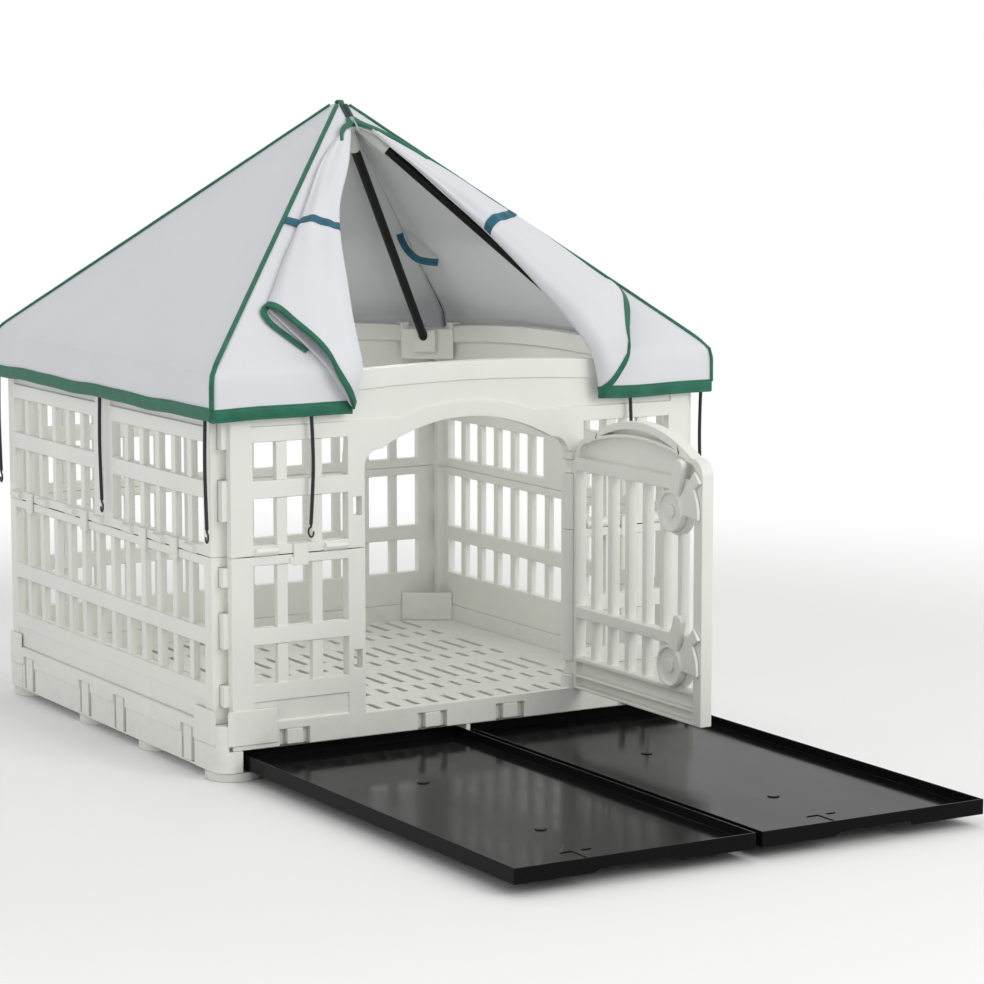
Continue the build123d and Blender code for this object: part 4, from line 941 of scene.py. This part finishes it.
    def ties(self) -> None:
        """Hangs the elastic ties from the hem, each with its hook."""
        x, y, low, reach = C.x - 1.2, C.y - 1.2, C.hem - 0.3, 146.0
        tops = [(-x, -17.0, 0), (x, -17.0, 0), (-250.0, -y, 1), (260.0, -y, 1), (0.0, y, 1),
                (-x, -365.0, 0), (-x, 365.0, 0), (x, -365.0, 0), (x, 365.0, 0)]
        for i, (tx, ty, axis) in enumerate(tops):
            points = []
            for part, bow in ((0.0, 0.0), (0.35, 1.0), (0.7, 0.4), (1.0, -0.6)):
                shift = bow * 3.0
                points.append((tx + (shift if axis else 0), ty + (0 if axis else shift),
                               low - part * reach))
            curve = bpy.data.curves.new(f"tie_{i}", "CURVE")
            curve.dimensions, curve.bevel_depth, curve.bevel_resolution = "3D", 2.5 * MM, 4
            curve.resolution_u, curve.use_fill_caps = 12, True
            spline = curve.splines.new("NURBS")
            spline.points.add(len(points) - 1)
            for spot, p in zip(spline.points, points):
                spot.co = (*(v * MM for v in p), 1.0)
            spline.order_u, spline.use_endpoint_u = 3, True
            curve.materials.append(self.m.materials["elastic_black"])
            cord = bpy.data.objects.new(f"tie_{i}", curve)
            bpy.context.scene.collection.objects.link(cord)
            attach(cord, "canopy")
            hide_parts("elastic_ties")
            hook = self.hook(i, np.array(points[-1]), axis)
            [v * MM for v in points[0]]

    def hook(self, number: int, end: Points, axis: int) -> bpy.types.Object:
        """Builds the small hook under an elastic tie."""
        side = np.array([1.0, 0, 0]) if axis else np.array([0, 1.0, 0])
        thick = np.array([0, 1.0, 0]) if axis else np.array([1.0, 0, 0])
        path = smooth_line([(0, 0.2), (0, -4), (-3.2, -7), (-3.6, -13), (-1.0, -17.6), (2.4, -17.4),
                            (3.8, -13.5), (3.6, -10.5)], 40)
        line = end + side * path[:, :1] + np.array([0, 0, 1.0]) * path[:, 1:]
        ring = circle(10)
        along = unit(np.gradient(line, axis=0))
        across = unit(np.cross(along, thick))
        size = np.interp(np.linspace(0, 1, 40), [0, 0.1, 0.9, 1], [2.4, 1.5, 1.3, 0.9])
        body = (line[:, None] + across[:, None] * (ring[None, :, :1] * size[:, None, None])
                + thick * (ring[None, :, 1:] * size[:, None, None]))
        return self.tube(f"tie_hook_{number}", body, "hook_plastic", "canopy", "tie_hooks")

    def build(self) -> None:
        """Builds the whole canopy."""
        self.gores()
        self.front()
        self.bindings()
        self.strap("strap_over_left", C.roll_left, (2.62, 2.75), (-184, 744), "strap_left", False)
        self.strap("strap_over_right", C.roll_right, (2.45, 2.95), (186, 742), "strap_right", True)
        self.inner_strap()
        self.zip()
        self.slider()
        self.ties()


# Width of each rigid node's eased edges in millimetres, and the faces round an edge.
RIGID: dict[str, tuple[float, int]] = {
    "front_lower": (1.0, 2), "front_upper": (1.0, 2), "left_lower": (1.0, 2),
    "left_upper": (1.0, 2), "right_lower": (1.0, 2), "right_upper": (1.0, 2),
    "back_lower": (1.0, 2), "back_upper": (1.0, 2), "seam_hooks": (0.8, 2),
    "door_panel": (1.1, 2), "latch_upper": (1.0, 2), "latch_lower": (1.0, 2),
    "latch_pivots": (0.5, 2), "door_hinge_pins": (0.4, 2), "corner_block_fl": (1.3, 3),
    "corner_block_fr": (1.3, 3), "corner_block_bl": (1.3, 3), "corner_block_br": (1.3, 3),
    "side_rail_left": (1.1, 2), "side_rail_right": (1.1, 2), "back_rail": (1.1, 2),
    "centre_rail": (0.7, 2), "foot_pads": (2.0, 3), "base_clips": (1.2, 3),
    "floor_panel": (0.7, 2), "tray_left": (0.7, 2), "tray_right": (0.7, 2), "hub": (0.8, 2),
    "gusset_fl": (0.9, 2), "gusset_fr": (0.9, 2), "gusset_bl": (0.9, 2), "gusset_br": (0.9, 2),
    "pole_fl": (0.6, 2), "pole_fr": (0.6, 2), "pole_bl": (0.6, 2), "pole_br": (0.6, 2),
}


def dress_rigid(mesher: Mesher, record: dict) -> None:
    """Eases the edges of every rigid node and gives it its finish.

    Args:
        mesher: Writes the pieces.
        record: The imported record.
    """
    slots = {part["node"]: part["material_slot"] for part in record["subparts"]}
    bodies = {node: body for body, nodes in record["behaviour"]["bodies"].items() for node in nodes}
    for node, (width, steps) in RIGID.items():
        mesher.soften(node, "eased_" + node, slots[node], bodies[node], width, steps)


def tray_marks(mesher: Mesher) -> None:
    """Raises an arrow on the floor of each tray."""
    y, z = -1010.0, 23.6
    outline = np.array([(-4, -26), (4, -26), (4, 4), (15, 4), (0, 24), (-15, 4), (-4, 4)], float) * 1.5
    corners = len(outline)
    for name, x in (("left", -215.0), ("right", 150.0)):
        rings = np.stack([np.column_stack([outline * share + (x, y), np.full(corners, z + height)])
                          for share, height in ((1.0, -0.5), (1.0, 0.5), (0.9, 0.8))])
        mesher.write(f"tray_arrow_{name}", rings.reshape(-1, 3), ring_faces(3, corners), None,
                     "tray_plastic", f"tray_{name}", False)


@dataclass(frozen=True)
class Lamp:
    """A round area lamp of the studio.

    Args:
        name: Its name.
        place: Where it hangs, in metres.
        aim: What it points at.
        size: Its width in metres.
        power: Its power in watts.
    """

    name: str
    place: tuple[float, float, float]
    aim: tuple[float, float, float]
    size: float
    power: float


LAMPS = (
    Lamp("key", (1.3, -4.6, 2.5), (0, -0.2, 0.35), 2.6, 75.0),
    Lamp("fill", (-3.6, -2.4, 1.6), (0, 0, 0.3), 2.8, 6.0),
    Lamp("top", (0.6, 0.2, 4.2), (0, 0, 0.5), 3.0, 14.0),
    Lamp("inner", (0.0, 0.0, 0.70), (0, 0, 0.0), 0.25, 0.9),
)


def studio_floor() -> None:
    """Lays a white floor that fades into the white surroundings."""
    material = bpy.data.materials.new("studio_floor")
    g = Graph(material)
    g.shader.inputs["Base Color"].default_value = (FLOOR_WHITE, FLOOR_WHITE, FLOOR_WHITE, 1)
    g.shader.inputs["Roughness"].default_value = 0.9
    far = g.node("VectorMath", out="Value", inputs={0: g.place()}, operation="LENGTH")
    reach = g.ramp(far, *FLOOR_FADE, 0.0, 1.0, "SMOOTHSTEP")
    faded = g.node("MixShader", inputs={
        0: reach, 1: Sock(g, g.shader.outputs[0]), 2: g.node("Emission")})
    g.plug(g.tree.nodes["Material Output"].inputs[0], faded)
    half = FLOOR_HALF
    mesh = bpy.data.meshes.new("floor")
    mesh.from_pydata([(-half, -half, 0), (half, -half, 0), (half, half, 0), (-half, half, 0)], [],
                     [(0, 1, 2, 3)])
    mesh.materials.append(material)
    floor = bpy.data.objects.new("floor", mesh)
    bpy.context.scene.collection.objects.link(floor)


def surroundings() -> None:
    """Makes the world white to the eye and dimmer where it only lights the pen."""
    world = bpy.data.worlds.new("studio")
    g = Graph(world, "Background")
    bpy.context.scene.world = world
    rays = g.node("LightPath", out="Is Camera Ray")
    seen = g.math("MAXIMUM", rays, rays.other("Is Glossy Ray"))
    seen = g.math("MAXIMUM", seen, rays.other("Is Transmission Ray"))
    g.plug(g.shader.inputs["Strength"], g.ramp(seen, 0.0, 1.0, WORLD_LIGHT, 1.0))
    g.shader.inputs["Color"].default_value = (1, 1, 1, 1)


def studio() -> None:
    """Sets the floor, the white surroundings, the lamps and the camera."""
    studio_floor()
    surroundings()
    scene = bpy.context.scene
    for lamp in LAMPS:
        light = bpy.data.lights.new(lamp.name, "AREA")
        light.shape, light.size, light.energy = "DISK", lamp.size, lamp.power
        light.color = LAMP_COLOUR
        holder = bpy.data.objects.new(lamp.name, light)
        holder.location = lamp.place
        aim = Vector(lamp.aim) - Vector(lamp.place)
        holder.rotation_euler = aim.to_track_quat("-Z", "Y").to_euler()
        scene.collection.objects.link(holder)
    lens = bpy.data.cameras.new("view")
    lens.lens, lens.sensor_width, lens.clip_end = CAMERA_LENS, SENSOR, 60.0
    camera = bpy.data.objects.new("view", lens)
    camera.location = CAMERA_AT
    camera.rotation_euler = Euler((math.radians(90 - CAMERA_DOWN), 0, math.radians(CAMERA_TURN)), "XYZ")
    scene.collection.objects.link(camera)
    scene.camera = camera
    scene.view_settings.view_transform = "Standard"


def main() -> None:
    """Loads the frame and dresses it."""
    logging.basicConfig(level=logging.INFO)
    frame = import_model()
    materials = make_materials()
    studio()
    for part in frame["record"]["subparts"]:
        node = frame["nodes"][part["node"]]
        for place in node.material_slots:
            place.material = materials[part["material_slot"]]
    mesher = Mesher(materials, frame["nodes"])
    Canopy(mesher).build()
    dress_rigid(mesher, frame["record"])
    tray_marks(mesher)


if __name__ == "__main__":
    main()
